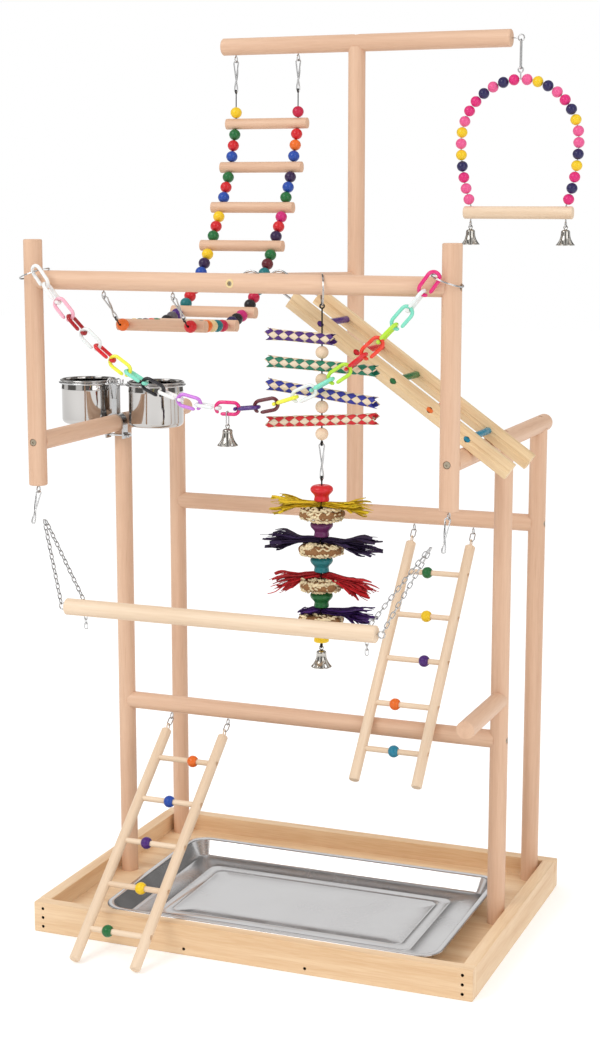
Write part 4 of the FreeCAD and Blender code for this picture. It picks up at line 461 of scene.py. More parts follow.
class Groups:
    """Shader node groups shared by the finishes. Each puts out colours, masks, values or heights."""

    def __init__(self) -> None:
        """Starts with no group built."""
        self.built: dict[str, bpy.types.NodeTree] = {}

    def get(self, builder: Callable[[], bpy.types.NodeTree]) -> bpy.types.NodeTree:
        """The group of a builder, built the first time."""
        if builder.__name__ not in self.built:
            self.built[builder.__name__] = builder()
        return self.built[builder.__name__]

    @staticmethod
    def begin(name: str, inputs: dict[str, tuple[str, object]],
              outputs: dict[str, str]) -> bpy.types.NodeTree:
        """A new group with named sockets: inputs give a kind and a default, outputs a kind."""
        tree = bpy.data.node_groups.new(name, "ShaderNodeTree")
        for label, (kind, default) in inputs.items():
            socket = tree.interface.new_socket(label, in_out="INPUT", socket_type="NodeSocket" + kind)
            if default is not None:
                socket.default_value = default
        for label, kind in outputs.items():
            tree.interface.new_socket(label, in_out="OUTPUT", socket_type="NodeSocket" + kind)
        tree.nodes.new("NodeGroupInput").name = "in"
        tree.nodes.new("NodeGroupOutput").name = "out"
        return tree

    def wood(self) -> bpy.types.NodeTree:
        """Grain: slow bands and fine fibres mixed between two browns, short dark flecks and knots."""
        tree = self.begin("wood_grain", {
            "Vector": ("Vector", None), "Light": ("Color", (0.8, 0.6, 0.4, 1)),
            "Dark": ("Color", (0.5, 0.3, 0.2, 1)),
            "Bands": ("Float", 60.0), "Fleck": ("Float", 0.3), "Knots": ("Float", 0.0),
            "Contrast": ("Float", 0.5),
        }, {"Color": "Color", "Roughness": "Float", "Height": "Float"})
        net = Net(tree)
        source = tree.nodes["in"].outputs
        warp = net.noise(source["Vector"], 14.0, 2.0)
        bent = net.node("ShaderNodeVectorMath", {"operation": "MULTIPLY_ADD"}, {0: warp.outputs["Color"],
                        1: (0.012, 0.012, 0.012), 2: source["Vector"]})
        bands = net.noise(bent.outputs[0], source["Bands"], 3.0)
        fibres = net.noise(source["Vector"], 620.0, 4.0)
        slow = net.remap(bands.outputs["Fac"], 0.38, 0.66)
        fine = net.remap(fibres.outputs["Fac"], 0.35, 0.7)
        both = net.math("MULTIPLY_ADD", fine, 0.35, net.math("MULTIPLY", slow, 0.65))
        share = net.math("MULTIPLY", both, source["Contrast"])
        base = net.mix(share, source["Light"], source["Dark"])
        flecks = net.remap(net.noise(source["Vector"], 260.0, 1.0).outputs["Fac"], 0.66, 0.72)
        flecked = net.mix(net.math("MULTIPLY", flecks, source["Fleck"]), base, source["Dark"])
        cells = net.node("ShaderNodeTexVoronoi", {}, {"Vector": bent.outputs[0], "Scale": 7.5})
        eye = net.remap(cells.outputs["Distance"], 0.11, 0.02)
        knotted = net.mix(net.math("MULTIPLY", eye, source["Knots"]), flecked, (0.12, 0.045, 0.015, 1))
        net.link(knotted, tree.nodes["out"].inputs["Color"])
        net.link(net.math("MULTIPLY_ADD", both, 0.14, 0.46), tree.nodes["out"].inputs["Roughness"])
        net.link(net.math("SUBTRACT", 1.0, both), tree.nodes["out"].inputs["Height"])
        return tree

    def wear(self) -> bpy.types.NodeTree:
        """Handling marks: a soft mask of cloudy patches crossed by fine scratches."""
        tree = self.begin("handling", {"Vector": ("Vector", None), "Scale": ("Float", 30.0),
                                       "Low": ("Float", 0.1), "High": ("Float", 0.3)},
                          {"Roughness": "Float", "Height": "Float"})
        net = Net(tree)
        source = tree.nodes["in"].outputs
        clouds = net.noise(source["Vector"], source["Scale"], 3.0)
        stretched = net.node("ShaderNodeMapping", {},
                             {"Vector": source["Vector"], "Scale": (900.0, 900.0, 40.0)})
        scratches = net.noise(stretched.outputs[0], 1.0, 1.0)
        mixed = net.math("MULTIPLY_ADD", scratches.outputs["Fac"], 0.25, clouds.outputs["Fac"])
        span = net.math("SUBTRACT", source["High"], source["Low"])
        rough = net.math("MULTIPLY_ADD", net.remap(mixed, 0.35, 0.95), span, source["Low"])
        net.link(rough, tree.nodes["out"].inputs["Roughness"])
        net.link(scratches.outputs["Fac"], tree.nodes["out"].inputs["Height"])
        return tree

    def braid(self) -> bpy.types.NodeTree:
        """Crossed strips: with a = u/p + v/q and b = u/p - v/q, the parity of their whole parts picks
        the colour of each diamond, and the distance from its edges gives its height."""
        tree = self.begin("braid", {"Vector": ("Vector", None), "Colour": ("Color", (0.5, 0.1, 0.1, 1)),
                                    "Straw": ("Color", (0.8, 0.7, 0.5, 1)), "Along": ("Float", 66.0),
                                    "Round": ("Float", 80.0)},
                          {"Color": "Color", "Height": "Float", "Roughness": "Float"})
        net = Net(tree)
        source = tree.nodes["in"].outputs
        split = net.node("ShaderNodeSeparateXYZ", {}, {0: source["Vector"]})
        u = net.math("MULTIPLY", split.outputs["X"], source["Along"])
        v = net.math("MULTIPLY", split.outputs["Y"], source["Round"])
        a, b = net.math("ADD", u, v), net.math("SUBTRACT", u, v)
        whole = net.math("ADD", net.math("FLOOR", a), net.math("FLOOR", b))
        parity = net.math("FLOORED_MODULO", whole, 2.0)
        ridge_a = net.math("PINGPONG", a, 0.5)
        ridge_b = net.math("PINGPONG", b, 0.5)
        edge = net.math("MINIMUM", ridge_a, ridge_b)
        height = net.remap(edge, 0.0, 0.16)
        fibres = net.noise(net.node("ShaderNodeMapping", {},
                                    {"Vector": source["Vector"], "Scale": (160.0, 1400.0, 1.0)}
                                    ).outputs[0], 1.0, 2.0)
        streak = net.remap(fibres.outputs["Fac"], 0.3, 0.75)
        colour = net.mix(parity, source["Straw"], source["Colour"])
        shade = net.mix(net.math("MULTIPLY", streak, 0.35), colour,
                        net.mix(0.45, colour, (0.05, 0.03, 0.02, 1)))
        # painted shade: the colour darkens towards near black along the edges of each diamond, where the gaps
        # between the strips lie in shade
        gap = net.remap(edge, 0.07, 0.0)
        net.link(net.mix(net.math("MULTIPLY", gap, 0.55), shade, (0.04, 0.025, 0.02, 1)),
                 tree.nodes["out"].inputs["Color"])
        net.link(net.math("MULTIPLY_ADD", streak, 0.15, height), tree.nodes["out"].inputs["Height"])
        net.link(net.math("MULTIPLY_ADD", streak, 0.2, 0.45), tree.nodes["out"].inputs["Roughness"])
        return tree

    def fibre(self) -> bpy.types.NodeTree:
        """Streaks along U over a tint, for dried leaf, string and sponge."""
        tree = self.begin("fibre", {"Vector": ("Vector", None), "Tint": ("Color", (1, 1, 1, 1)),
                                    "Along": ("Float", 60.0), "Across": ("Float", 2400.0),
                                    "Depth": ("Float", 0.5)},
                          {"Color": "Color", "Height": "Float"})
        net = Net(tree)
        source = tree.nodes["in"].outputs
        scale = net.node("ShaderNodeCombineXYZ", {},
                         {0: source["Along"], 1: source["Across"], 2: source["Across"]})
        vector = net.node("ShaderNodeVectorMath", {"operation": "MULTIPLY"},
                          {0: source["Vector"], 1: scale.outputs[0]})
        streak = net.remap(net.noise(vector.outputs[0], 1.0, 3.0).outputs["Fac"], 0.32, 0.7)
        dark = net.mix(0.72, source["Tint"], (0.02, 0.012, 0.008, 1))
        light = net.mix(0.012, source["Tint"], (1, 1, 1, 1))
        net.link(net.mix(net.math("MULTIPLY", streak, source["Depth"]), light, dark),
                 tree.nodes["out"].inputs["Color"])
        net.link(net.math("SUBTRACT", 1.0, streak), tree.nodes["out"].inputs["Height"])
        return tree


class Net:
    """Short ways to add nodes to one tree."""

    def __init__(self, tree: bpy.types.NodeTree) -> None:
        """Keeps the tree."""
        self.tree = tree

    def link(self, source: object, target: bpy.types.NodeSocket) -> None:
        """Links a socket, or writes a plain value."""
        if isinstance(source, bpy.types.NodeSocket):
            self.tree.links.new(source, target)
        else:
            target.default_value = source

    def node(self, kind: str, settings: dict, inputs: dict) -> bpy.types.Node:
        """A node with its settings and inputs."""
        made = self.tree.nodes.new(kind)
        for name, value in settings.items():
            setattr(made, name, value)
        for key, value in inputs.items():
            self.link(value, made.inputs[key])
        return made

    def math(self, operation: str, *values: object) -> bpy.types.NodeSocket:
        """A Math node's result."""
        return self.node("ShaderNodeMath", {"operation": operation}, dict(enumerate(values))).outputs[0]

    def coordinates(self, kind: str) -> bpy.types.NodeSocket:
        """The object's own coordinates, or its UVs."""
        return self.node("ShaderNodeTexCoord", {}, {}).outputs[kind]

    def tint(self) -> bpy.types.NodeSocket:
        """The mesh's own tint."""
        return self.node("ShaderNodeVertexColor", {"layer_name": "tint"}, {}).outputs["Color"]

    def noise(self, vector: object, scale: object, detail: float) -> bpy.types.Node:
        """A noise texture."""
        return self.node("ShaderNodeTexNoise", {}, {"Vector": vector, "Scale": scale, "Detail": detail})

    def remap(self, value: object, low: float, high: float) -> bpy.types.NodeSocket:
        """The value with low to high spread over 0 to 1, with smooth ends."""
        made = self.node("ShaderNodeMapRange", {"interpolation_type": "SMOOTHSTEP"},
                         {"Value": value, "From Min": low, "From Max": high})
        return made.outputs["Result"]

    def mix(self, share: object, first: object, second: object) -> bpy.types.NodeSocket:
        """A mix of two colours."""
        made = self.node("ShaderNodeMix", {"data_type": "RGBA"}, {})
        self.link(share, made.inputs["Factor"])
        self.link(first, made.inputs["A"])
        self.link(second, made.inputs["B"])
        return made.outputs["Result"]


# ---------------------------------------------------------------- finishes


def rgba(colour: Colour) -> tuple[float, float, float, float]:
    """The colour with full alpha."""
    return (*colour, 1.0)


@dataclass(frozen=True)
class Finish:
    """A finish: plain numbers for its shader, and a method that wires its pattern."""

    name: str

    def begin(self) -> tuple[bpy.types.Material, Net, bpy.types.Node]:
        """A new material with its tree helper and its Principled shader."""
        material = bpy.data.materials.new(self.name)
        material.use_nodes = True
        return material, Net(material.node_tree), material.node_tree.nodes["Principled BSDF"]

    @staticmethod
    def bump(net: Net, height: object, strength: float, distance: float, shader: bpy.types.Node) -> None:
        """A Bump node from a height into the shader's normal."""
        node = net.node("ShaderNodeBump", {}, {"Strength": strength, "Distance": distance, "Height": height})
        net.link(node.outputs["Normal"], shader.inputs["Normal"])


@dataclass(frozen=True)
class Wood(Finish):
    """Bare or sealed wood. Its fibres follow a row axis, turned by some degrees about X or Y."""

    light: Colour = Stain.NATURAL.value
    dark: Colour = srgb(190, 140, 100)
    grain: Grain = Grain.Z
    turn: tuple[float, float, float] = (0.0, 0.0, 0.0)
    bands: float = 55.0
    fleck: float = 0.25
    knots: float = 0.0
    contrast: float = 0.5
    by_uv: bool = False
    coat: float = 0.0

    def make(self, groups: Groups) -> bpy.types.Material:
        """The material: object coordinates squeezed along the fibres, into the grain group."""
        material, net, shader = self.begin()
        squeeze = [1.0, 1.0, 1.0]
        squeeze[0 if self.by_uv else self.grain.value] = 0.05
        vector = net.coordinates("UV" if self.by_uv else "Object")
        turned = net.node("ShaderNodeMapping", {}, {"Vector": vector,
                          "Rotation": tuple(math.radians(angle) for angle in self.turn)})
        squeezed = net.node("ShaderNodeMapping", {}, {"Vector": turned.outputs[0], "Scale": tuple(squeeze)})
        group = net.node("ShaderNodeGroup", {"node_tree": groups.get(groups.wood)}, {
            "Vector": squeezed.outputs[0], "Light": rgba(self.light), "Dark": rgba(self.dark),
            "Bands": self.bands,
            "Fleck": self.fleck, "Knots": self.knots, "Contrast": self.contrast})
        net.link(group.outputs["Color"], shader.inputs["Base Color"])
        net.link(group.outputs["Roughness"], shader.inputs["Roughness"])
        shader.inputs["Coat Weight"].default_value = self.coat
        self.bump(net, group.outputs["Height"], 0.12, 0.0004, shader)
        return material


@dataclass(frozen=True)
class Stained(Finish):
    """Wood under a bright glossy stain that takes its colour from the mesh's tint."""

    rough: float = 0.28
    coat: float = 0.08

    def make(self, groups: Groups) -> bpy.types.Material:
        """The material: the tint, a little darker in the pores, under a thin coat."""
        material, net, shader = self.begin()
        group = net.node("ShaderNodeGroup", {"node_tree": groups.get(groups.fibre)}, {
            "Vector": net.coordinates("UV"), "Tint": net.tint(), "Along": 90.0, "Across": 700.0,
            "Depth": 0.16})
        net.link(group.outputs["Color"], shader.inputs["Base Color"])
        cloud = net.noise(net.coordinates("Object"), 120.0, 2.0)
        net.link(net.math("MULTIPLY_ADD", cloud.outputs["Fac"], 0.16, self.rough - 0.08),
                 shader.inputs["Roughness"])
        shader.inputs["Coat Weight"].default_value = self.coat
        shader.inputs["Coat Roughness"].default_value = 0.12
        shader.inputs["Specular IOR Level"].default_value = 0.32
        self.bump(net, group.outputs["Height"], 0.08, 0.0002, shader)
        return material


@dataclass(frozen=True)
class Metal(Finish):
    """Bright steel or plate, with handling marks in its gloss."""

    colour: Colour = (0.62, 0.61, 0.6)
    low: float = 0.1
    high: float = 0.28
    scale: float = 40.0
    relief: float = 0.05

    def make(self, groups: Groups) -> bpy.types.Material:
        """The material: one metal colour, with roughness and relief from the handling group."""
        material, net, shader = self.begin()
        group = net.node("ShaderNodeGroup", {"node_tree": groups.get(groups.wear)}, {
            "Vector": net.coordinates("Object"), "Scale": self.scale, "Low": self.low, "High": self.high})
        shader.inputs["Base Color"].default_value = rgba(self.colour)
        shader.inputs["Metallic"].default_value = 1.0
        net.link(group.outputs["Roughness"], shader.inputs["Roughness"])
        self.bump(net, group.outputs["Height"], self.relief, 0.0002, shader)
        return material


@dataclass(frozen=True)
class Moulded(Finish):
    """Glossy plastic that takes its colour from the mesh's tint, a little milky inside."""

    def make(self, groups: Groups) -> bpy.types.Material:
        """The material: the tint with cloudy depth, gloss and faint marks."""
        material, net, shader = self.begin()
        cloud = net.noise(net.coordinates("Object"), 85.0, 2.0)
        share = net.math("MULTIPLY", net.remap(cloud.outputs["Fac"], 0.4, 0.7), 0.03)
        net.link(net.mix(share, net.tint(), (1, 1, 1, 1)), shader.inputs["Base Color"])
        group = net.node("ShaderNodeGroup", {"node_tree": groups.get(groups.wear)}, {
            "Vector": net.coordinates("Object"), "Scale": 60.0, "Low": 0.14, "High": 0.3})
        net.link(group.outputs["Roughness"], shader.inputs["Roughness"])
        shader.inputs["Subsurface Weight"].default_value = 0.05
        shader.inputs["Subsurface Radius"].default_value = (0.003, 0.002, 0.002)
        self.bump(net, group.outputs["Height"], 0.03, 0.0002, shader)
        return material


@dataclass(frozen=True)
class Braided(Finish):
    """Palm strips woven in diamonds of one dyed colour and straw."""

    colour: Colour = Stain.RED.value
    straw: Colour = srgb(232, 212, 184)

    def make(self, groups: Groups) -> bpy.types.Material:
        """The material: the braid group on the tube's UVs."""
        material, net, shader = self.begin()
        group = net.node("ShaderNodeGroup", {"node_tree": groups.get(groups.braid)}, {
            "Vector": net.coordinates("UV"), "Colour": rgba(self.colour), "Straw": rgba(self.straw),
            "Along": 1 / WovenTube.pitch, "Round": 1 / WovenTube.step})
        net.link(group.outputs["Color"], shader.inputs["Base Color"])
        net.link(group.outputs["Roughness"], shader.inputs["Roughness"])
        self.bump(net, group.outputs["Height"], 0.5, 0.0006, shader)
        return material


@dataclass(frozen=True)
class Fibrous(Finish):
    """Raffia, string or loofah: a tint with streaks along U."""

    along: float = 60.0
    across: float = 2400.0
    depth: float = 0.5
    rough: float = 0.62
    relief: float = 0.5

    def make(self, groups: Groups) -> bpy.types.Material:
        """The material: the fibre group on the mesh's tint."""
        material, net, shader = self.begin()
        group = net.node("ShaderNodeGroup", {"node_tree": groups.get(groups.fibre)}, {
            "Vector": net.coordinates("UV"), "Tint": net.tint(), "Along": self.along,
            "Across": self.across, "Depth": self.depth})
        net.link(group.outputs["Color"], shader.inputs["Base Color"])
        cloud = net.noise(net.coordinates("Object"), 300.0, 2.0)
        net.link(net.math("MULTIPLY_ADD", cloud.outputs["Fac"], 0.2, self.rough - 0.1),
                 shader.inputs["Roughness"])
        shader.inputs["Specular IOR Level"].default_value = 0.2
        self.bump(net, group.outputs["Height"], self.relief, 0.0004, shader)
        return material


class Finishes:
    """All finishes of the stand, each made once."""

    def __init__(self) -> None:
        """Builds the groups' store and an empty set of materials."""
        self.groups = Groups()
        self.made: dict[str, bpy.types.Material] = {}

    def get(self, finish: Finish) -> bpy.types.Material:
        """The finish's material, made the first time."""
        if finish.name not in self.made:
            self.made[finish.name] = finish.make(self.groups)
        return self.made[finish.name]

    def dowel(self, grain: Grain) -> bpy.types.Material:
        """Sanded beech dowel along an axis."""
        return self.get(Wood("beech_dowel_" + grain.name.lower(), srgb(226, 188, 158), srgb(200, 156, 126),
                             grain,
                             bands=70.0, fleck=0.22, contrast=0.5))

    def pale(self, name: str, grain: Grain,
             turn: tuple[float, float, float] = (0, 0, 0)) -> bpy.types.Material:
        """Pale sanded dowel or lath along an axis, turned with its piece."""
        return self.get(Wood(name, srgb(238, 214, 186), srgb(214, 182, 148), grain, turn, bands=80.0,
                             fleck=0.15,
                             contrast=0.55))

    def pine(self, grain: Grain) -> bpy.types.Material:
        """Sealed pine board along an axis, with bands and knots."""
        return self.get(Wood("sealed_pine_" + grain.name.lower(), srgb(240, 210, 172), srgb(214, 170, 122),
                             grain,
                             bands=42.0, fleck=0.1, knots=0.85, contrast=0.75, coat=0.05))

    def steel(self) -> bpy.types.Material:
        """Plated wire."""
        return self.get(Metal("plated_wire", (0.55, 0.55, 0.55), 0.14, 0.3))


# ---------------------------------------------------------------- sub-assemblies


@dataclass
class Assembly:
    """What every sub-assembly uses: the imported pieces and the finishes."""

    packed: Packed
    finishes: Finishes

    def copy_of(self, node: str, body: str, slot: str, material: bpy.types.Material, name: str = "",
                chosen: list[Island] | None = None, bevel: float = 0.0, sharp: float = 35.0,
                replaces: bool = True) -> bpy.types.Object:
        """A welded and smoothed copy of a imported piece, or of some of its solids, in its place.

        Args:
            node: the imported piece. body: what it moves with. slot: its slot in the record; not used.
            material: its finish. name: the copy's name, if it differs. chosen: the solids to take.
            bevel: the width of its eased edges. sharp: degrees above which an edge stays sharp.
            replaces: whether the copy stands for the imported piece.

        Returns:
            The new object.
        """
        label = name or node + "_dressed"
        mesh = solid_mesh(label, chosen if chosen is not None else self.packed.solids(node))
        piece = finish_object(label, mesh, body, (node,) if replaces else (), material, sharp)
        if bevel:
            modifier = piece.modifiers.new("eased_edges", "BEVEL")
            modifier.width, modifier.segments, modifier.limit_method = bevel, 2, "ANGLE"
            modifier.angle_limit = math.radians(40)
        return piece


@dataclass
class Frame(Assembly):
    """The boxed base, its tray and the dowels, screws and eyes of the frame."""

    tray_points: int = 160

    def build(self) -> None:
        """Dresses the wood and the small steel, and builds the tray."""
        for node, grain in (("base_board_front", Grain.X), ("base_board_back", Grain.X),
                            ("base_board_left", Grain.Y),
                            ("base_board_right", Grain.Y), ("base_panel", Grain.X)):
            self.copy_of(node, "root", "pine", self.finishes.pine(grain), bevel=1.2 * MM)
        uprights = ("post_front_left", "post_front_right", "post_back_left", "post_back_right",
                    "hanger_post_left",
                    "hanger_post_right", "mast")
        lengthways = ("side_perch_left", "side_perch_right", "stub_perch", "centre_perch")
        crossways = ("front_crossbar", "back_crossbar", "lower_crossbar", "top_perch")
        for nodes, grain in ((uprights, Grain.Z), (lengthways, Grain.Y), (crossways, Grain.X)):
            for node in nodes:
                self.copy_of(node, "root", "dowel", self.finishes.dowel(grain))
        brass = self.finishes.get(Metal("screw_zinc", (0.42, 0.36, 0.27), 0.25, 0.45, 90.0))
        for node in ("frame_screws", "base_nails"):
            self.copy_of(node, "root", "screw_steel", brass)
        self.copy_of("screw_eyes", "root", "wire_steel", self.finishes.steel())
        self.build_cup_washer()
        self.build_tray()

    def build_cup_washer(self) -> None:
        """The pale cup washer round the screw in the middle of the front crossbar: a ring whose section
        is a half circle, (R + r cos a) round the screw."""
        low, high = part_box("front_crossbar")
        crown = low.y
        section = arc((4.6 * MM, 0.0), 1.3 * MM, -90, 90, 8)
        section = np.vstack([section, [[3.2 * MM, 1.3 * MM], [3.2 * MM, -1.3 * MM]]])
        ring = lathe(section, 28, closed=True)
        place = ring.placed((0.0, crown + 1.0 * MM, (low.z + high.z) / 2), facing((0, -1, 0)))
        make_object("front_crossbar_cup_washer", [place.tinted(Stain.CREAM.value)], "root", (),
                    self.finishes.get(Moulded("pale_washer")))

    def rounded(self, half_x: float, half_y: float, corner: float) -> np.ndarray:
        """A rounded rectangle's outline, with evenly numbered points: four arcs about inset corners."""
        angle = np.linspace(0, TURN, self.tray_points, endpoint=False) + np.pi / self.tray_points
        cos, sin = np.cos(angle), np.sin(angle)
        x = np.sign(cos) * (half_x - corner) + corner * cos
        y = np.sign(sin) * (half_y - corner) + corner * sin
        return np.stack([x, y], -1)

    def build_tray(self) -> None:
        """A pressed steel tray: outlines of rounded rectangles that step from the rolled rim down the
        sloping wall and across the floor, where two raised borders run round."""
        low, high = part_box("tray")
        half = np.array([(high.x - low.x) / 2, (high.y - low.y) / 2])
        centre = np.array([(high.x + low.x) / 2, (high.y + low.y) / 2])
        rise = high.z - low.z
        # each outline: how far in from the rim, its height as a share of the tray's, its corner
        steps = [(1.0, 0.90, 32), (0.0, 0.93, 33), (0.0, 0.98, 33), (1.0, 1.0, 32), (6.0, 1.0, 28),
                 (8.0, 0.985, 27),
                 (9.4, 0.93, 26), (20.0, 0.16, 17), (21.6, 0.10, 15), (24.5, 0.062, 14), (30.0, 0.055, 14),
                 (56.0, 0.052, 14), (57.6, 0.088, 14), (59.6, 0.09, 13), (61.2, 0.052, 13), (74.0, 0.05, 13),
                 (75.4, 0.082, 13), (77.2, 0.084, 12), (78.6, 0.048, 12), (110.0, 0.046, 12),
                 (140.0, 0.046, 12)]
        rings = [np.column_stack([self.rounded(*(half - inset * MM), corner * MM) + centre,
                                  np.full(self.tray_points, low.z + share * rise)]) for inset, share,
                                  corner in steps]
        points = np.array(rings)
        across = np.array([inset * MM for inset, _, _ in steps])
        around = np.linspace(0, 1.6, self.tray_points + 1)
        uv = grid_uv(across, around)
        pan = sheet(points, uv, wrap_columns=True)
        last = (len(steps) - 1) * self.tray_points + np.arange(self.tray_points)
        middle = len(pan.points)
        tris = fan(last, middle)
        pan = Patch(np.vstack([pan.points, [[*centre, low.z + 0.046 * rise]]]), pan.quads, pan.quad_uv, tris,
                    np.zeros((self.tray_points, 3, 2)))
        steel = self.finishes.get(Metal("tray_stainless", (0.63, 0.62, 0.62), 0.16, 0.3, 14.0, 0.03))
        piece = make_object("tray_dressed", [pan], "tray", ("tray",), steel, sharp=70)
        add_wall(piece, 0.7 * MM)


def add_wall(piece: bpy.types.Object, thickness: float, offset: float = -1.0) -> None:
    """Gives a sheet a closed wall, after its faces are turned the same way."""
    mesh = bmesh.new()
    mesh.from_mesh(piece.data)
    bmesh.ops.recalc_face_normals(mesh, faces=mesh.faces)
    mesh.to_mesh(piece.data)
    mesh.free()
    wall = piece.modifiers.new("wall", "SOLIDIFY")
    wall.thickness, wall.offset = thickness, offset


@dataclass
class Cups(Assembly):
    """Two steel cups with rolled rims, in the rings of a clamp on the left side perch."""

    wall: float = 1.0 * MM
    rim: float = 1.5 * MM

    def build(self) -> None:
        """Builds the cups, the clamp with its wire loops and the wing nut."""
        mirror = self.finishes.get(Metal("cup_stainless", (0.5, 0.485, 0.47), 0.03, 0.11, 18.0, 0.02))
        for side in ("left", "right"):
            node = "cup_" + side
            low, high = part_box(node)
            centre = ((low.x + high.x) / 2, (low.y + high.y) / 2, low.z)
            cup = self.cup((high.x - low.x) / 2, high.z - low.z)
            make_object(node + "_dressed", [cup.placed(centre, np.eye(3))], node, (node,),
                        mirror)
        self.copy_of("cup_bracket", "root", "wire_steel", self.finishes.steel())
        self.copy_of("cup_wing_nut", "wing_nut", "wire_steel", self.finishes.steel())
        self.build_loops()

    def cup(self, radius: float, height: float) -> Patch:
        """A cup as a lathe: flat foot, round heel, upright wall with a bead line, rolled rim, inside."""
        body = radius - 2 * self.rim + self.wall
        heel = 7 * MM
        outside = [[0.4 * MM, 0.8 * MM], [body * 0.8, 0.8 * MM], [body * 0.84, 0.0]]
        outside += list(arc((body - heel, heel), heel, -88, 0, 10))
        top = height - self.rim
        outside += [[body, top - 14 * MM], [body + 0.5 * MM, top - 12.6 * MM], [body, top - 11.2 * MM]]
        roll = list(arc((body + self.rim - self.wall, top), self.rim, -150, 170, 14))
        inner = body - self.wall
        inside = [[inner, top - 3 * MM], [inner, heel + 1 * MM]]
        inside += list(arc((inner - heel, heel + self.wall), heel, 0, -88, 10)[1:])
        inside += [[0.4 * MM, 1.2 * MM + self.wall]]
        return lathe(np.array(outside + roll + inside), 96)

    def build_loops(self) -> None:
        """The bent wire between the cups: two curled loops over the rings' bar, each 1.4 turns of a
        circle that climbs as it turns, with a straight leg down to the clamp."""
        low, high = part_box("cup_bracket")
        middle = (low.x + high.x) / 2
        loops = []
        for side in (-1, 1):
            turn = np.linspace(-0.5 * np.pi, 2.2 * np.pi, 42)
            x = middle + side * (6.5 * MM + 4.2 * MM * np.cos(turn))
            z = high.z + 3.0 * MM + 4.2 * MM * np.sin(turn)
            y = np.linspace(-21.5 * MM, -10.5 * MM, 42)
            leg = np.column_stack([np.linspace(middle + side * 3 * MM, x[0], 12)[:-1], np.full(11, y[0]),
                                   np.linspace(high.z - 22 * MM, z[0], 12)[:-1]])
            loops.append(swept(np.vstack([leg, np.column_stack([x, y, z])]), 1.1 * MM, 10, hint=(0, 1, 0)))
        make_object("cup_bracket_wire_loops", loops, "root", (), self.finishes.steel())


def hook_patches(island: Island, wire: float, foot_width: float = 5.2 * MM) -> list[Patch]:
    """A snap hook bent from one wire in place of a packed hook.

    The wire goes over a wide round top, runs down two converging sides that cross near the foot, and
    closes in a small eye; a short gate wire bows beside one side.

    Args:
        island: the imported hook. wire: the wire's radius. foot_width: the eye's width at the foot.

    Returns:
        The hook's patches in their place.
    """
    axes = island.axes
    long_way = axes[0] * (1 if axes[0][2] > 0 else -1)
    length, width = island.reach()[:2]
    top = length / 2 - width / 2
    cross = -length / 2 + 1.6 * foot_width
    half, small = width / 2 - wire, foot_width / 2 - wire * 0.2
    up = arc((0, top), half, 0, 180, 14)
    foot = arc((0, -length / 2 + foot_width / 2), small, 200, 340, 12)
    side_a = np.linspace(up[-1], foot[-1], 12)[1:-1]
    side_b = np.linspace(foot[0], up[0], 12)[1:-1]
    line = np.vstack([up, side_a, foot[::-1], side_b])
    near = np.exp(-(((line[:, 1] - cross) / (0.16 * length)) ** 2))
    sway = np.zeros(len(line))
    sway[len(up):len(up) + len(side_a)] = 1.15 * wire
    sway[-len(side_b):] = -1.15 * wire
    path = np.column_stack([line[:, 0], sway * near, line[:, 1]])
    gate_z = np.linspace(top - 2 * MM, cross + 5 * MM, 12)
    share = np.linspace(0, 1, 12)
    gate_x = half * (1 - share) * 0.55 + 1.2 * MM * np.sin(share * np.pi)
    gate = np.column_stack([gate_x, np.full(12, wire * 1.1), gate_z])
    frame = np.array([np.cross(axes[2], long_way), axes[2], long_way])
    patches = [swept(path, wire, 10, closed=True, hint=(0, 1, 0)),
               swept(gate, wire * 0.62, 8, hint=(0, 1, 0))]
    return [patch.placed(island.middle, frame) for patch in patches]


@dataclass
class Swing(Assembly):
    """The swing perch, its eyes and hooks, and the small steel chains."""

    longest_eye: float = 35 * MM

    def build(self) -> None:
        """Dresses the perch and chains and bends the two snap hooks."""
        self.copy_of("swing_perch", "swing", "pale_dowel", self.finishes.pale("swing_beech", Grain.X))
        links = [wire_link(link) for link in self.packed.solids("swing_chains")]
        make_object("swing_chains_dressed", links, "swing", ("swing_chains",),
                    self.finishes.steel())
        solids = self.packed.solids("swing_fittings")
        hooks = [s for s in solids if s.reach()[0] > self.longest_eye]
        eyes = [s for s in solids if s.reach()[0] <= self.longest_eye]
        patches = [patch for hook in hooks for patch in hook_patches(hook, WIRE)]
        make_object("swing_snap_hooks", patches, "swing", ("swing_fittings",),
                    self.finishes.steel())
        self.copy_of("swing_fittings", "swing", "wire_steel", self.finishes.steel(), "swing_end_eyes", eyes,
                     replaces=False)


def bead(radius: float, bore: float, segments: int = 28) -> Patch:
    """A turned bead about Z: a near-round outside, r = R sin a and z = 0.97 R cos a, and a bore."""
    start = math.degrees(math.asin(min(0.9, (bore + 0.6 * MM) / radius)))
    angle = np.radians(np.linspace(180 - start, start, 16))
    outside = np.column_stack([radius * np.sin(angle), 0.97 * radius * np.cos(angle)])
    edge = outside[-1, 1] - 0.3 * MM
    inside = np.array([[bore, edge], [bore, -edge]])
    return lathe(np.vstack([outside, inside]), segments, closed=True)


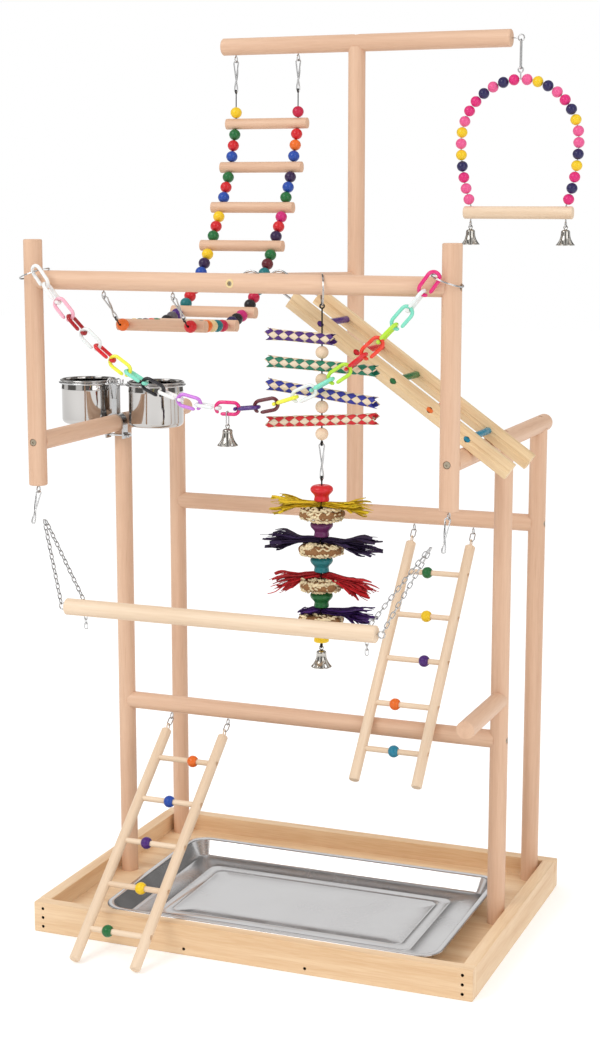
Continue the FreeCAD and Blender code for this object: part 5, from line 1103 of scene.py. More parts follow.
@dataclass
class Beadwork(Assembly):
    """The beaded arch and the bead bridge."""

    arch_bead: float = 7.9 * MM
    bridge_bead: float = 8.5 * MM
    arch_left: tuple[str, ...] = ("HOT_PINK", "NAVY", "PINK", "NAVY", "HOT_PINK", "HOT_PINK", "PINK",
                                  "YELLOW", "PINK",
                                  "YELLOW", "NAVY", "HOT_PINK", "PINK", "PINK")
    arch_right: tuple[str, ...] = ("PINK", "YELLOW", "NAVY", "PINK", "HOT_PINK", "NAVY", "YELLOW", "PINK",
                                   "PINK",
                                   "NAVY", "YELLOW", "HOT_PINK", "NAVY", "HOT_PINK")
    bridge_left: tuple[str, ...] = ("YELLOW", "GREEN", "RED", "BLUE", "GREEN", "RED", "BLUE", "YELLOW", "RED",
                                    "GREEN",
                                    "YELLOW", "DARK_PURPLE", "BLUE", "RED", "RED", "TEAL", "PURPLE", "GREY",
                                    "BLACK",
                                    "GREEN", "ORANGE_RED", "MAROON", "GREEN", "YELLOW", "ORANGE")
    bridge_right: tuple[str, ...] = ("CRIMSON", "RED", "ORANGE", "BLUE", "DARK_PURPLE", "BLUE", "GREEN",
                                     "MAGENTA",
                                     "RED", "DARK_PURPLE", "GREEN", "MAROON", "TEAL", "TEAL", "CRIMSON",
                                     "BLACK",
                                     "MAGENTA", "BLACK", "NAVY", "CRIMSON", "TEAL", "CREAM", "ORANGE",
                                     "BLACK", "RED")

    def string_of_beads(self, centres: np.ndarray, radius: float, colours: tuple[str, ...]) -> list[Patch]:
        """Beads along a string, each turned to the line through its neighbours."""
        headings = np.gradient(centres, axis=0)
        shape = bead(radius, STRING_BORE)
        return [shape.placed(spot, facing(heading, (0.3, 1, 0.2))).tinted(Stain[colour].value)
                for spot, heading, colour in zip(centres, headings, colours)]

    def build(self) -> None:
        """Builds the beads and dresses the wires, perch, rungs and strings."""
        stained = self.finishes.get(Stained("stained_beads"))
        steel = self.finishes.steel()
        beads = self.packed.solids("arch_beads")
        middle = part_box("arch_perch")
        middle_x = (middle[0].x + middle[1].x) / 2
        patches = []
        for side, colours in ((-1, self.arch_left), (1, self.arch_right)):
            chosen = [b for b in beads if (b.centre[0] - middle_x) * side > 0]
            centres = np.array([b.centre for b in chosen])
            patches += self.string_of_beads(centres, self.arch_bead, colours)
        make_object("arch_beads_dressed", patches, "arch", ("arch_beads",), stained)
        self.copy_of("arch_wire", "arch", "wire_steel", steel)
        self.copy_of("arch_perch", "arch", "pale_dowel", self.finishes.pale("arch_perch_beech", Grain.X))
        beads = sorted(self.packed.solids("bead_bridge_beads"), key=lambda b: -b.centre[1])
        low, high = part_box("bead_bridge_rungs")
        middle_x = (low.x + high.x) / 2
        patches = []
        for side, colours in ((-1, self.bridge_left), (1, self.bridge_right)):
            centres = np.array([b.centre for b in beads if (b.centre[0] - middle_x) * side > 0])
            LOG.info("bridge string of %d beads, %d colours", len(centres), len(colours))
            patches += self.string_of_beads(centres, self.bridge_bead, colours)
        make_object("bead_bridge_beads_dressed", patches, "root", ("bead_bridge_beads",),
                    stained)
        self.copy_of("bead_bridge_rungs", "root", "bead_wood", self.finishes.dowel(Grain.X))
        string = self.finishes.get(Fibrous("bead_string", 500.0, 900.0, 0.5))
        self.copy_of("bead_bridge_strings", "root", "string", string)
        hooks = self.packed.solids("bead_bridge_hooks")
        patches = [patch for hook in hooks for patch in hook_patches(hook, WIRE)]
        make_object("bead_bridge_snap_hooks", patches, "root", ("bead_bridge_hooks",), steel)


@dataclass
class Bells(Assembly):
    """The four small bells: a domed crown, a flared skirt with slots, a hanging loop and a clapper."""

    wall: float = 0.8 * MM
    slots: int = 4

    def build(self) -> None:
        """Builds each bell on its own body."""
        nickel = self.finishes.get(Metal("bell_nickel", (0.5, 0.48, 0.44), 0.1, 0.26, 60.0))
        for node in ("arch_bell_left", "arch_bell_right", "chain_bell", "toy_bell"):
            solids = self.packed.solids(node)
            bell = solids[-1]
            skirt, rest = self.bell(bell)
            piece = make_object(node + "_skirt", [skirt], node, (node,), nickel)
            add_wall(piece, self.wall)
            make_object(node + "_clapper_and_loop", rest, node, (), nickel)
            if len(solids) > 1:
                self.copy_of(node, node, "bell_steel", self.finishes.steel(), node + "_wire_link",
                             solids[:-1],
                             replaces=False)

    def bell(self, island: Island) -> tuple[Patch, list[Patch]]:
        """A bell in place of a packed one.

        The skirt is a lathe of (r, z) with r growing as the third power of the way down its lower part,
        and its lowest rows are left open at the slots.

        Args:
            island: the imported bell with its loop.

        Returns:
            The sheet of the bell, and the solid clapper, rod and loop.
        """
        low, high = island.box
        x, y = island.centre[:2]
        mouth = (high[0] - low[0]) / 2
        loop = 2.6 * MM
        top = high[2] - 0.8 * MM - 2 * loop
        foot = low[2] + 0.6 * MM
        down = np.linspace(0, 1, 22)
        radius = np.where(down < 0.16, 6.4 * MM * np.sqrt(1 - np.clip(1 - down / 0.16, 0, 1) ** 2 * 0.98),
                          6.4 * MM + (mouth - 0.4 * MM - 6.4 * MM) * np.clip((down - 0.16) / 0.84, 0,
                                                                             1) ** 2.4)
        height = top - (top - foot) * down
        segments = 48
        angle = np.linspace(0, TURN, segments, endpoint=False)
        points = np.stack([x + radius[:, None] * np.cos(angle), y + radius[:, None] * np.sin(angle),
                           height[:, None] + 0 * angle], -1)
        uv = grid_uv(down * 0.02, np.linspace(0, 0.09, segments + 1))
        rows, columns = np.meshgrid(np.arange(21), np.arange(segments), indexing="ij")
        step = segments // self.slots
        open_slot = (rows >= 12) & (rows < 20) & ((columns + step // 2) % step < 2)
        skirt = sheet(points, uv, wrap_columns=True, keep=~open_slot)
        crown = len(skirt.points)
        tris = fan(np.arange(segments), crown)
        skirt = Patch(np.vstack([skirt.points, [[x, y, top + 0.3 * MM]]]), skirt.quads, skirt.quad_uv, tris,
                      np.zeros((segments, 3, 2)))
        ring = swept(oval(2 * loop, 2 * loop - 0.01 * MM, 14), 0.75 * MM, 8, closed=True, hint=(0, 1, 0))
        rod_line = np.column_stack([np.full(6, x), np.full(6, y),
                                    np.linspace(top - 0.6 * MM, foot + 2.5 * MM, 6)])
        drop = np.array([[0.5, 3.4], [1.7, 2.6], [2.9, 0.6], [3.0, -0.6], [2.2, -2.0], [0.6, -2.6]]) * MM
        clapper = lathe(drop[::-1], 20).placed((x, y, foot + 1.6 * MM), np.eye(3))
        rod = swept(rod_line, 0.6 * MM, 8, hint=(0, 1, 0))
        return skirt, [ring.placed((x, y, high[2] - 0.8 * MM - loop), np.eye(3)), rod, clapper]


@dataclass
class LinkChain(Assembly):
    """The coloured plastic links between two split rings."""

    colours: tuple[str, ...] = ("WHITE", "WHITE", "PALE_PINK", "DARK_RED", "CLEAR", "RED", "LEMON", "MINT",
                                "BLACK",
                                "WHITE", "LAVENDER", "CLEAR", "HOT_PINK", "PURPLE", "MAROON", "LEMON",
                                "CLEAR", "MINT",
                                "LIME", "RED", "ORANGE_RED", "LIME", "MINT", "CLEAR", "HOT_PINK")
    gap: float = 2.2 * MM

    def build(self) -> None:
        """Builds the links, in their order from the left, and the rings."""
        links = sorted(self.packed.solids("plastic_chain"), key=lambda link: link.centre[0])
        patches = [self.link(link, Stain[name].value) for link, name in zip(links, self.colours)]
        make_object("plastic_chain_dressed", patches, "chain", ("plastic_chain",),
                    self.finishes.get(Moulded("link_plastic")), sharp=50)
        rings = [split_ring(ring, WIRE) for ring in self.packed.solids("chain_rings")]
        make_object("chain_split_rings", rings, "root", ("chain_rings",), self.finishes.steel())

    def link(self, island: Island, colour: Colour) -> Patch:
        """An open link: an oval whose one long side has a slanted gap between two rounded ends."""
        length, width, thick = island.reach()
        line = oval(length - thick, width - thick, 14)
        start = int(len(line) / 2)
        line = np.roll(line, -start, axis=0)
        line = np.vstack([line, line[:1]])
        along = running_length(line)
        even = np.linspace(0, along[-1], 60)
        path = np.column_stack([np.interp(even, along, line[:, k]) for k in range(3)])
        # the loop starts on a long side, and its two ends stop short of each other
        path = np.roll(path[:-1], -3, axis=0)
        total = along[-1]
        share = np.linspace(0, 1, len(path))
        reach = share * (total - self.gap)
        keep = np.interp(reach, np.linspace(0, total, len(path)), np.arange(len(path)))
        path = np.column_stack([np.interp(keep, np.arange(len(path)), path[:, k]) for k in range(3)])
        taper = np.clip(np.minimum(share, 1 - share) / 0.02, 0.55, 1.0)
        tube = swept(path, thick / 2 * taper, 12, hint=(0, 1, 0), flat=0.96)
        return tube.placed(island.middle, island.upright).tinted(colour)


def wire_link(island: Island) -> Patch:
    """A welded oval link of small chain: its middle line in a few steps, and a round section of six."""
    length, width, thick = island.reach()
    loop = swept(oval(length - thick, width - thick, 8), thick / 2, 6, closed=True, hint=(0, 1, 0))
    return loop.placed(island.middle, island.upright)


def split_ring(island: Island, wire: float) -> Patch:
    """A split ring: two close turns of one wire, (R cos a, R sin a, h(a)) with h stepping by a wire."""
    normal = island.axes[2]
    radius = island.reach()[0] / 2 - wire
    turn = np.linspace(0, 3.9 * np.pi, 120)
    step = wire * 0.98
    height = step * np.clip((turn - 1.75 * np.pi) / (0.4 * np.pi), 0, 1) - step / 2
    path = np.column_stack([radius * np.cos(turn), radius * np.sin(turn), height])
    return swept(path, wire / 2, 8, hint=(0, 0, 1)).placed(island.middle,
                                                           facing(normal, tuple(island.axes[0])))


@dataclass
class WovenTube:
    """One woven tube: palm strips in diamonds round a hollow middle, with split ends."""

    pitch: float = 14.0 * MM
    step: float = 12.5 * MM

    def patch(self, island: Island, radius: float, rng: np.random.Generator) -> Patch:
        """The tube's sheet in place of a packed one.

        Its radius swells on each diamond of the braid, and near the ends the strips part: the edge runs
        in and out with the braid, and the radius widens.
        """
        axes = island.axes
        length = island.reach()[0]
        rows, columns = 112, 64
        u = np.linspace(-0.5, 0.5, rows)[:, None]
        angle = np.linspace(0, TURN, columns, endpoint=False)[None]
        around = 4 * angle / (2 * np.pi)
        teeth = 0.5 * self.pitch * np.abs(2 * ((around + 0.25) % 1.0) - 1)
        ragged = rng.normal(0, 0.6 * MM, columns)[None]
        end = length / 2 - teeth - np.abs(ragged)
        x = 2 * u * end
        a = x / self.pitch + around
        b = x / self.pitch - around
        dome = (1 - np.abs(2 * (a % 1) - 1) ** 3) * (1 - np.abs(2 * (b % 1) - 1) ** 3)
        flare = 1 + 0.16 * np.clip((np.abs(x) - (length / 2 - 16 * MM)) / (16 * MM), 0, 1) ** 1.5
        droop = 1 + 0.03 * np.sin(9 * u + 2 * angle)
        r = (radius - 0.9 * MM + 0.55 * MM * dome) * flare * droop
        local = np.stack([x + 0 * angle, r * np.cos(angle), r * np.sin(angle) * 0.94], -1)
        full = np.linspace(0, 4 * self.step, columns + 1)[None]
        wide = np.concatenate([x, x[:, :1]], axis=1)
        uv = np.stack([wide, full + 0 * wide], -1)
        grid = sheet(local, uv, wrap_columns=True)
        return grid.placed(island.middle, np.array([axes[0], np.cross((0, 0, 1), axes[0]), (0, 0, 1)]))


@dataclass
class Raffia:
    """Bundles of dyed raffia through the string, each many flat strips that fan out and curl."""

    strips: int = 44
    stations: int = 14

    def bundle(self, centre: np.ndarray, reach: float, side: int, droop: float, colour: Colour,
               rng: np.random.Generator) -> list[Patch]:
        """One side of a bundle.

        Each strip leaves the string level, spreads sideways as the square of the way out, falls as its
        power 1.6, and waves a little. Its width swells from the knot and narrows at its cut end.

        Args:
            centre: where the strips leave the string. reach: how far they go. side: -1 left, 1 right.
            droop: the fall at the ends. colour: the dye. rng: the source of their differences.

        Returns:
            A closed flat strip for each blade.
        """
        s = np.linspace(0, 1, self.stations)
        out = []
        for _ in range(self.strips):
            length = reach * rng.uniform(0.6, 1.0)
            fan = rng.uniform(-1, 1)
            lift = rng.uniform(-1, 1)
            phase, waves = rng.uniform(0, 6.28), rng.uniform(0.6, 1.7)
            wobble = np.sin(phase + waves * 2 * np.pi * s) * s
            x = centre[0] + side * (1.4 * MM + length * s)
            y = centre[1] + fan * (3.0 * MM + 21 * MM * s ** 1.4) + 2.2 * MM * wobble
            spread = 2.4 * MM + 8.5 * MM * np.clip((length * s - 30 * MM) / (24 * MM), 0, 1)
            z = centre[2] + lift * spread - droop * s ** 1.6 + 1.4 * MM * wobble * np.clip(s * 2 - 0.6, 0, 1)
            width = rng.uniform(1.8, 4.0) * MM * np.interp(s, [0, 0.15, 0.8, 1],
                                                           [0.7, 1, 0.95, rng.uniform(0.25, 0.9)])
            tilt = (rng.normal(0, 0.35), rng.normal(0, 0.5), 1.0)
            blade = swept(np.column_stack([x, y, z]), width, 6, hint=tilt, flat=1.0)
            blade.points[:] = self.flatten(blade.points, np.column_stack([x, y, z]), np.array(tilt), s)
            shade = np.clip(np.array(colour) * rng.uniform(0.7, 1.25) + rng.uniform(0, 0.015), 0, 1)
            out.append(blade.tinted(shade))
        return out

    def flatten(self, points: np.ndarray, path: np.ndarray, up: np.ndarray, s: np.ndarray) -> np.ndarray:
        """The strip's points pressed towards its middle line along its own upward way, to a fold that
        is a quarter of a millimetre thick and curls with the way out."""
        count = len(path)
        rings = points[:-2].reshape(-1, count, 3)
        heading = np.gradient(path, axis=0)
        heading /= np.linalg.norm(heading, axis=1, keepdims=True)
        across = np.cross(heading, up)
        across /= np.linalg.norm(across, axis=1, keepdims=True)
        lift = np.cross(across, heading)
        away = rings - path[None]
        side = np.einsum("kni,ni->kn", away, across)
        rise = np.einsum("kni,ni->kn", away, lift)
        thin = 0.16 * MM * np.sign(rise) + 0.35 * np.abs(side) * (0.4 + 0.6 * s)[None] - 0.1 * MM
        flat = path[None] + side[..., None] * across[None] + thin[..., None] * lift[None]
        return np.vstack([flat.reshape(-1, 3), points[-2:]])


@dataclass
class HangingToy(Assembly):
    """The shredding toy: woven tubes and balls, then knobs, raffia and loofah slices, and its cords."""

    tube_colours: tuple[str, ...] = ("PURPLE", "JADE", "ROYAL", "RED")
    knob_colours: tuple[str, ...] = ("RED", "PLUM", "TEAL", "GREEN", "YELLOW")
    raffia_colours: tuple[str, ...] = ("YELLOW", "DARK_PURPLE", "RED", "PURPLE")
    raffia_forms: tuple[tuple[float, float, float], ...] = ((2, 66, 68), (5, 78, 78), (17, 70, 72),
                                                            (3, 26, 70))
    tube_radius: float = 8.0 * MM
    ball_radius: float = 8.3 * MM
    loofah_fibres: int = 84
    seed: int = 11

    def build(self) -> None:
        """Builds every part of the toy on its own body."""
        rng = np.random.default_rng(self.seed)
        steel = self.finishes.steel()
        tubes = self.packed.solids("toy_tubes")
        for index, (island, name) in enumerate(zip(tubes, self.tube_colours)):
            sheet_patch = WovenTube().patch(island, self.tube_radius, rng)
            braid = self.finishes.get(Braided("woven_palm_" + name.lower(), Stain[name].value))
            piece = make_object("toy_woven_tube_%d" % (index + 1), [sheet_patch], "toy",
                                ("toy_tubes",) if index == 0 else (), braid, sharp=180)
            add_wall(piece, 0.6 * MM)
        natural = self.finishes.get(Wood("turned_ball", srgb(236, 212, 184), srgb(214, 176, 138), Grain.Z,
                                         bands=90.0))
        balls = [bead(self.ball_radius, STRING_BORE,
                      36).placed(b.centre, np.eye(3)) for b in self.packed.solids("toy_balls")]
        make_object("toy_balls_dressed", balls, "toy", ("toy_balls",), natural)
        self.build_cords(steel)
        stained = self.finishes.get(Stained("stained_knobs", 0.3))
        knobs = [self.knob(k, Stain[c].value) for k,
                 c in zip(self.packed.solids("toy_knobs"), self.knob_colours)]
        make_object("toy_knobs_dressed", knobs, "toy_low", ("toy_knobs",), stained)
        self.build_raffia(rng)
        self.build_loofahs(rng)

    def build_cords(self, steel: bpy.types.Material) -> None:
        """The split ring on the crossbar, the snap hook, and the cords with their tied loops."""
        string = self.finishes.get(Fibrous("toy_string", 500.0, 900.0, 0.5))
        solids = self.packed.solids("toy_cord")
        ring = max(solids, key=lambda s: s.reach()[1])
        cord = [s for s in solids if s is not ring]
        make_object("toy_split_ring", [split_ring(ring, WIRE)], "toy", ("toy_cord",), steel)
        self.copy_of("toy_cord", "toy", "string", string, "toy_cord_string", cord, replaces=False)
        solids = self.packed.solids("toy_low_cord")
        hook = max(solids, key=lambda s: s.reach()[1])
        cord = [s for s in solids if s is not hook]
        make_object("toy_snap_hook", hook_patches(hook, WIRE), "toy_low", ("toy_low_cord",),
                    steel)
        self.copy_of("toy_low_cord", "toy_low", "string", string, "toy_low_cord_string", cord, replaces=False)

    def knob(self, island: Island, colour: Colour) -> Patch:
        """A turned knob: a round head over a short waist and a flared foot, as a lathe."""
        low, high = island.box
        radius = (high[0] - low[0]) / 2
        half = (high[2] - low[2]) / 2
        profile = np.array([[1.6 * MM, -half], [0.56 * radius, -half], [0.62 * radius, -0.88 * half],
                            [0.6 * radius, -0.62 * half], [0.56 * radius, -0.4 * half],
                            [0.64 * radius, -0.18 * half],
                            [0.82 * radius, 0.06 * half], [0.93 * radius, 0.34 * half],
                            [0.9 * radius, 0.62 * half],
                            [0.74 * radius, 0.86 * half], [0.5 * radius, 0.98 * half],
                            [0.2 * radius, 0.92 * half],
                            [1.6 * MM, 0.8 * half]])
        fine = np.linspace(0, len(profile) - 1, 60)
        smooth = np.column_stack([np.interp(fine, np.arange(len(profile)), profile[:, k]) for k in (0, 1)])
        kernel = np.array([0.25, 0.5, 0.25])
        for _ in range(6):
            inner = np.column_stack([np.convolve(smooth[:, k], kernel, "same") for k in (0, 1)])
            smooth[1:-1] = inner[1:-1]
        return lathe(smooth, 36, closed=True).placed(island.centre, np.eye(3)).tinted(colour)

    def build_raffia(self, rng: np.random.Generator) -> None:
        """A bundle for each pair of packed halves, from the top down."""
        halves = self.packed.solids("toy_raffia")
        raffia = self.finishes.get(Fibrous("raffia_leaf", 45.0, 1500.0, 0.55, 0.6, 0.6))
        knobs = self.packed.solids("toy_knobs")
        patches = []
        for index, (droop, left, right) in enumerate(self.raffia_forms):
            pair = halves[2 * index:2 * index + 2]
            edge = knobs[index].box[0][2]
            centre = np.array([knobs[index].centre[0], knobs[index].centre[1], edge - 4.0 * MM])
            colour = Stain[self.raffia_colours[index]].value
            LOG.info("raffia bundle %d of %d halves at %.3f", index + 1, len(pair), centre[2])
            for side, reach in ((-1, left), (1, right)):
                patches += Raffia().bundle(centre, reach * MM, side, droop * MM, colour, rng)
        make_object("toy_raffia_strips", patches, "toy_low", ("toy_raffia",), raffia, sharp=180)

    def build_loofahs(self, rng: np.random.Generator) -> None:
        """Each slice is a crinkled core with curled fibres round its rim and over its faces."""
        sponge = self.finishes.get(Fibrous("loofah_sponge", 140.0, 700.0, 0.4, 0.75, 0.7))
        patches = []
        for island in self.packed.solids("toy_loofahs"):
            low, high = island.box
            radius, half = (high[0] - low[0]) / 2, (high[2] - low[2]) / 2
            # the core's darker brown is partly the sponge's own tan and partly painted shade of the deep mesh
            # seen between the pale fibres
            patches.append(self.core(radius, half, rng).placed(island.centre,
                                                               np.eye(3)).tinted(srgb(150, 104, 62)))
            patches += [fibre.placed(island.centre, np.eye(3)) for fibre in self.fibres(radius, half, rng)]
        make_object("toy_loofah_slices", patches, "toy_low", ("toy_loofahs",), sponge, sharp=180)

    def core(self, radius: float, half: float, rng: np.random.Generator) -> Patch:
        """The slice's body: a lathe whose radius and height wave with the angle."""
        angle = np.linspace(0, TURN, 72, endpoint=False)
        profile = np.vstack([[[2 * MM, -0.62 * half], [0.45 * radius, -0.7 * half],
                              [0.74 * radius, -0.66 * half]],
                             arc((0.78 * radius, 0), 0.62 * half, -80, 80, 9),
                             [[0.74 * radius, 0.66 * half], [0.45 * radius, 0.7 * half],
                              [2 * MM, 0.62 * half]]])
        wave = sum(0.05 / k * np.sin(k * 5 * angle + rng.uniform(0, 6.28)) for k in (1, 2, 3))
        scale = 1 + wave
        points = np.stack([profile[:, :1] * scale * np.cos(angle), profile[:, :1] * scale * np.sin(angle),
                           profile[:, 1:] * (1 + 1.6 * wave)], -1)
        uv = grid_uv(np.linspace(0, 0.07, len(profile) + 1), np.linspace(0, 0.19, len(angle) + 1))
        return sheet(points.transpose(1, 0, 2), uv.transpose(1, 0, 2), wrap_rows=True, wrap_columns=True)

    def fibres(self, radius: float, half: float, rng: np.random.Generator) -> list[Patch]:
        """Curled fibres: short arcs and loops of wandering radius over the faces and round the rim."""
        out = []
        for index in range(self.loofah_fibres):
            t = np.linspace(0, 1, 16)
            start = rng.uniform(0, 2 * np.pi)
            span = rng.uniform(0.35, 1.0)
            around = start + span * t
            distance = radius * (rng.uniform(0.25, 0.84) if index % 2 else 0.85)
            curl = 0.07 * radius * np.sin(2 * np.pi * t * rng.uniform(1.5, 3.5) + rng.uniform(0, 6.28))
            r = distance + curl
            face = rng.choice((-1, 1))
            lift = half * (0.84 if index % 2 else rng.uniform(-0.75, 0.75))
            z = (face * lift if index % 2 else lift) + 0.14 * half * np.cos(2 * np.pi * t * 2.5)
            path = np.column_stack([r * np.cos(around), r * np.sin(around), z])
            shade = np.array(srgb(246, 226, 184)) * rng.uniform(0.8, 1.1)
            out.append(swept(path, rng.uniform(1.0, 1.9) * MM, 6,
                             hint=(0.1, 0.2, 1)).tinted(np.clip(shade, 0, 1)))
        return out


@dataclass
class Ladders(Assembly):
    """The two hanging ladders and the ramp."""

    longest_fitting: float = 100 * MM
    bead_radius: float = 8.6 * MM
    rung_bore: float = 4.5 * MM
    low_beads: tuple[str, ...] = ("ORANGE", "BLUE", "PURPLE", "YELLOW", "GREEN")
    mid_beads: tuple[str, ...] = ("GREEN", "YELLOW", "PURPLE", "ORANGE", "SEA")
    ramp_rungs: tuple[str, ...] = ("PURPLE", "RED", "GREEN", "ORANGE", "SEA")

    def build(self) -> None:
        """Builds both ladders and the ramp."""
        self.ladder("low_ladder", self.low_beads)
        self.ladder("mid_ladder", self.mid_beads)
        self.ramp()

    def ladder(self, name: str, colours: tuple[str, ...]) -> None:
        """Rails along their own lean, rungs, loose beads, and steel eyes and links."""
        solids = self.packed.solids(name + "_rails")
        rails = [s for s in solids if s.reach()[0] > self.longest_fitting]
        fittings = [s for s in solids if s.reach()[0] <= self.longest_fitting]
        lean = rails[0].axes[0]
        angle = math.degrees(math.atan2(lean[1], lean[2]))
        self.copy_of(name + "_rails", name, "pale_dowel",
                     self.finishes.pale(name + "_rail_beech", Grain.Z, (angle, 0, 0)),
                     name + "_rails_dressed", rails)
        self.copy_of(name + "_rails", name, "wire_steel", self.finishes.steel(), name + "_eyes_and_links",
                     fittings,
                     replaces=False)
        self.copy_of(name + "_rungs", name, "pale_dowel", self.finishes.pale("ladder_rung_beech", Grain.X))
        beads = self.packed.solids(name + "_beads")
        shape = bead(self.bead_radius, self.rung_bore, 32)
        patches = [shape.placed(b.centre, facing((1, 0, 0), (0, 1, 0))).tinted(Stain[c].value)
                   for b, c in zip(beads, colours)]
        make_object(name + "_beads_dressed", patches, name + "_beads", (name + "_beads",),
                    self.finishes.get(Stained("stained_beads")))

    def ramp(self) -> None:
        """Laths with a groove along each side, dyed rungs and bent wire hooks."""
        rails = self.packed.solids("ramp_rails")
        lean = rails[0].axes[0] * np.sign(rails[0].axes[0][0])
        angle = math.degrees(math.atan2(lean[2], lean[0]))
        patches = [self.lath(rail, lean) for rail in rails]
        make_object("ramp_rails_dressed", patches, "ramp", ("ramp_rails",),
                    self.finishes.get(Wood("ramp_pine", srgb(240, 214, 172), srgb(208, 168, 118), Grain.X,
                                           (0, angle, 0), bands=60.0, fleck=0.1, contrast=0.75)))
        rungs = sorted(self.packed.solids("ramp_rungs"), key=lambda r: r.centre[0])
        rods = []
        for rung, colour in zip(rungs, self.ramp_rungs):
            low, high = rung.box
            radius, length = (high[0] - low[0]) / 2, high[1] - low[1]
            edge = 0.6 * MM
            profile = np.array([[0.2 * MM, 0], [radius - edge, 0], [radius, edge], [radius, length - edge],
                                [radius - edge, length], [0.2 * MM, length]])
            rods.append(lathe(profile, 24).placed((rung.centre[0], low[1], rung.centre[2]), facing((0, 1, 0)))
                        .tinted(Stain[colour].value))
        make_object("ramp_rungs_dressed", rods, "ramp", ("ramp_rungs",),
                    self.finishes.get(Stained("stained_beads")))
        self.copy_of("ramp_hooks", "ramp", "wire_steel", self.finishes.steel())

    def lath(self, island: Island, lean: np.ndarray) -> Patch:
        """A lath's section carried along its lean: a rounded rectangle with a shallow groove on each
        broad side, closed at both cut ends."""
        up = np.cross(lean, (0, 1, 0)) * -1
        up = up if up[2] > 0 else -up
        own = island.points @ np.array([lean, (0, 1, 0), up]).T
        low, high = own.min(0), own.max(0)
        half_y, half_z = (high[1] - low[1]) / 2, (high[2] - low[2]) / 2
        edge, depth, groove = 1.2 * MM, 1.3 * MM, 2.6 * MM
        corner = [arc((sy * (half_y - edge), sz * (half_z - edge)), edge, a, a + 90, 4)
                  for sy, sz, a in ((1, 1, 0), (-1, 1, 90), (-1, -1, 180), (1, -1, 270))]
        floor = -half_y + depth
        left = np.array([[-half_y, groove], [floor, groove * 0.5], [floor, -groove * 0.5],
                         [-half_y, -groove]])
        outline = np.vstack([corner[0], corner[1], left, corner[2], corner[3], -left])
        stations = np.linspace(low[0] + 0.2 * MM, high[0] - 0.2 * MM, 12)
        centre = (low + high) / 2
        axes = np.array([lean, (0, 1, 0), up])
        points = np.zeros((len(outline), len(stations), 3))
        points[..., 0] = stations
        points[..., 1] = centre[1] + outline[:, None, 0]
        points[..., 2] = centre[2] + outline[:, None, 1]
        around = np.linspace(0, 0.068, len(outline) + 1)
        uv = grid_uv(around, stations)
        grid = sheet(points, uv, wrap_rows=True)
        count, rows = len(stations), len(outline)
        ends = np.arange(rows) * count
        middle = len(grid.points)
        tris = np.vstack([fan(ends, middle, inward=True), fan(ends + count - 1, middle + 1)])
        caps = np.array([[stations[0], centre[1], centre[2]], [stations[-1], centre[1], centre[2]]])
        patch = Patch(np.vstack([grid.points, caps]), grid.quads, grid.quad_uv, tris,
                      np.zeros((2 * rows, 3, 2)))
        return patch.placed((0, 0, 0), axes)


# ---------------------------------------------------------------- stage


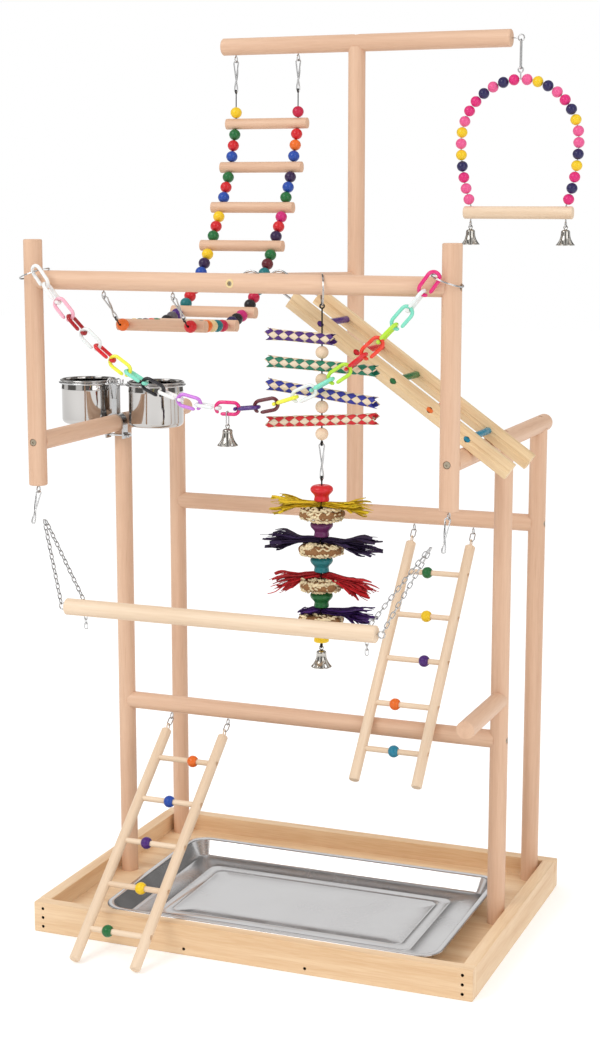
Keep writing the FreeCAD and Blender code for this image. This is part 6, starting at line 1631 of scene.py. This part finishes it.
@dataclass(frozen=True)
class Stage:
    """The camera at the photograph's view, soft light, and a plain pale floor and backdrop."""

    camera_place: tuple[float, float, float] = (0.9611, -2.4260, 1.0335)
    camera_pitch: float = -0.1715
    camera_turn: float = 0.3795
    lens: float = 64.44
    pale: Colour = (0.94, 0.94, 0.94)
    floor_reach: float = 12.0
    floor_glow: float = 0.22  # what takes the lit floor up to white
    gloss_share: float = 0.85  # how much of the banded sky a glossy ray sees
    bands_round: float = 5.0
    bands_start: float = -1.894
    aim: tuple[float, float, float] = (0.0, 0.0, 0.6)

    def build(self) -> None:
        """Makes the camera, the floor, the world and the lamps."""
        scene = bpy.context.scene
        scene.view_settings.view_transform = "Standard"
        camera = bpy.data.cameras.new("photo_camera")
        camera.lens, camera.sensor_width, camera.sensor_fit = self.lens, 36.0, "AUTO"
        holder = bpy.data.objects.new("photo_camera", camera)
        holder.location = self.camera_place
        holder.rotation_euler = (math.pi / 2 + self.camera_pitch, 0.0, self.camera_turn)
        scene.collection.objects.link(holder)
        scene.camera = holder
        self.floor()
        self.world()
        self.lamp("key", (-1.6, -2.6, 3.0), 1.8, 44.0)
        self.lamp("fill", (2.6, -1.6, 1.8), 2.2, 20.0)

    def floor(self) -> None:
        """A wide pale floor that shows as plain white to the camera, apart from the object's shadow."""
        reach = self.floor_reach
        mesh = bpy.data.meshes.new("floor")
        corners = [(-reach, -reach, 0), (reach, -reach, 0), (reach, reach, 0), (-reach, reach, 0)]
        mesh.from_pydata(corners, [], [(0, 1, 2, 3)])
        floor = bpy.data.objects.new("floor", mesh)
        bpy.context.scene.collection.objects.link(floor)
        material = bpy.data.materials.new("pale_floor")
        material.use_nodes = True
        net = Net(material.node_tree)
        shader = material.node_tree.nodes["Principled BSDF"]
        shader.inputs["Base Color"].default_value = rgba(self.pale)
        shader.inputs["Roughness"].default_value = 0.9
        shader.inputs["Specular IOR Level"].default_value = 0.0
        rays = net.node("ShaderNodeLightPath", {}, {})
        seen = net.math("MAXIMUM", rays.outputs["Is Camera Ray"], rays.outputs["Is Glossy Ray"])
        net.link(net.math("MULTIPLY", seen, self.floor_glow), shader.inputs["Emission Strength"])
        shader.inputs["Emission Color"].default_value = (1, 1, 1, 1)
        mesh.materials.append(material)

    def world(self) -> None:
        """A plain sky: white to the camera, a soft change from a bright top to a greyer level for the
        light, and upright grey bands for the gloss, so that steel shows its form."""
        world = bpy.data.worlds.new("studio")
        world.use_nodes = True
        bpy.context.scene.world = world
        net = Net(world.node_tree)
        background = world.node_tree.nodes["Background"]
        split = net.node("ShaderNodeSeparateXYZ", {}, {0: net.coordinates("Generated")})
        rise = net.remap(split.outputs["Z"], -0.05, 0.75)
        bearing = net.math("ARCTAN2", split.outputs["Y"], split.outputs["X"])
        stripe = net.math("SINE", net.math("MULTIPLY_ADD", bearing, self.bands_round, self.bands_start))
        bands = net.remap(stripe, 0.0, 0.6)
        gloss = net.mix(bands, (0.07, 0.065, 0.06, 1), (0.95, 0.95, 0.95, 1))
        plain = net.mix(rise, (0.62, 0.62, 0.62, 1), (0.9, 0.9, 0.9, 1))
        rays = net.node("ShaderNodeLightPath", {}, {})
        lit = net.mix(net.math("MULTIPLY", rays.outputs["Is Glossy Ray"], self.gloss_share), plain, gloss)
        net.link(net.mix(rays.outputs["Is Camera Ray"], lit, (1, 1, 1, 1)), background.inputs["Color"])
        background.inputs["Strength"].default_value = 1.0

    def lamp(self, name: str, place: tuple[float, float, float], size: float, power: float) -> None:
        """A square soft lamp that looks at the middle of the stand."""
        lamp = bpy.data.lights.new(name, "AREA")
        lamp.size, lamp.energy = size, power
        holder = bpy.data.objects.new(name, lamp)
        holder.location = place
        aim = np.array(self.aim) - np.array(place)
        axes = facing(-aim, (1, 0, 0))
        holder.rotation_euler = (math.acos(axes[2][2]), 0.0, math.atan2(axes[2][0], -axes[2][1]))
        bpy.context.scene.collection.objects.link(holder)


def main() -> None:
    """Loads the frame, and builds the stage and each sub-assembly."""
    logging.basicConfig(level=logging.INFO, format="%(name)s: %(message)s")
    for spare in list(bpy.data.objects):
        bpy.data.objects.remove(spare)
    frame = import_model()
    Stage().build()
    packed, finishes = Packed(frame), Finishes()
    for kind in (Frame, Cups, Swing, Beadwork, Bells, LinkChain, HangingToy, Ladders):
        LOG.info("building %s", kind.__name__)
        kind(packed, finishes).build()


if __name__ == "__main__":
    main()
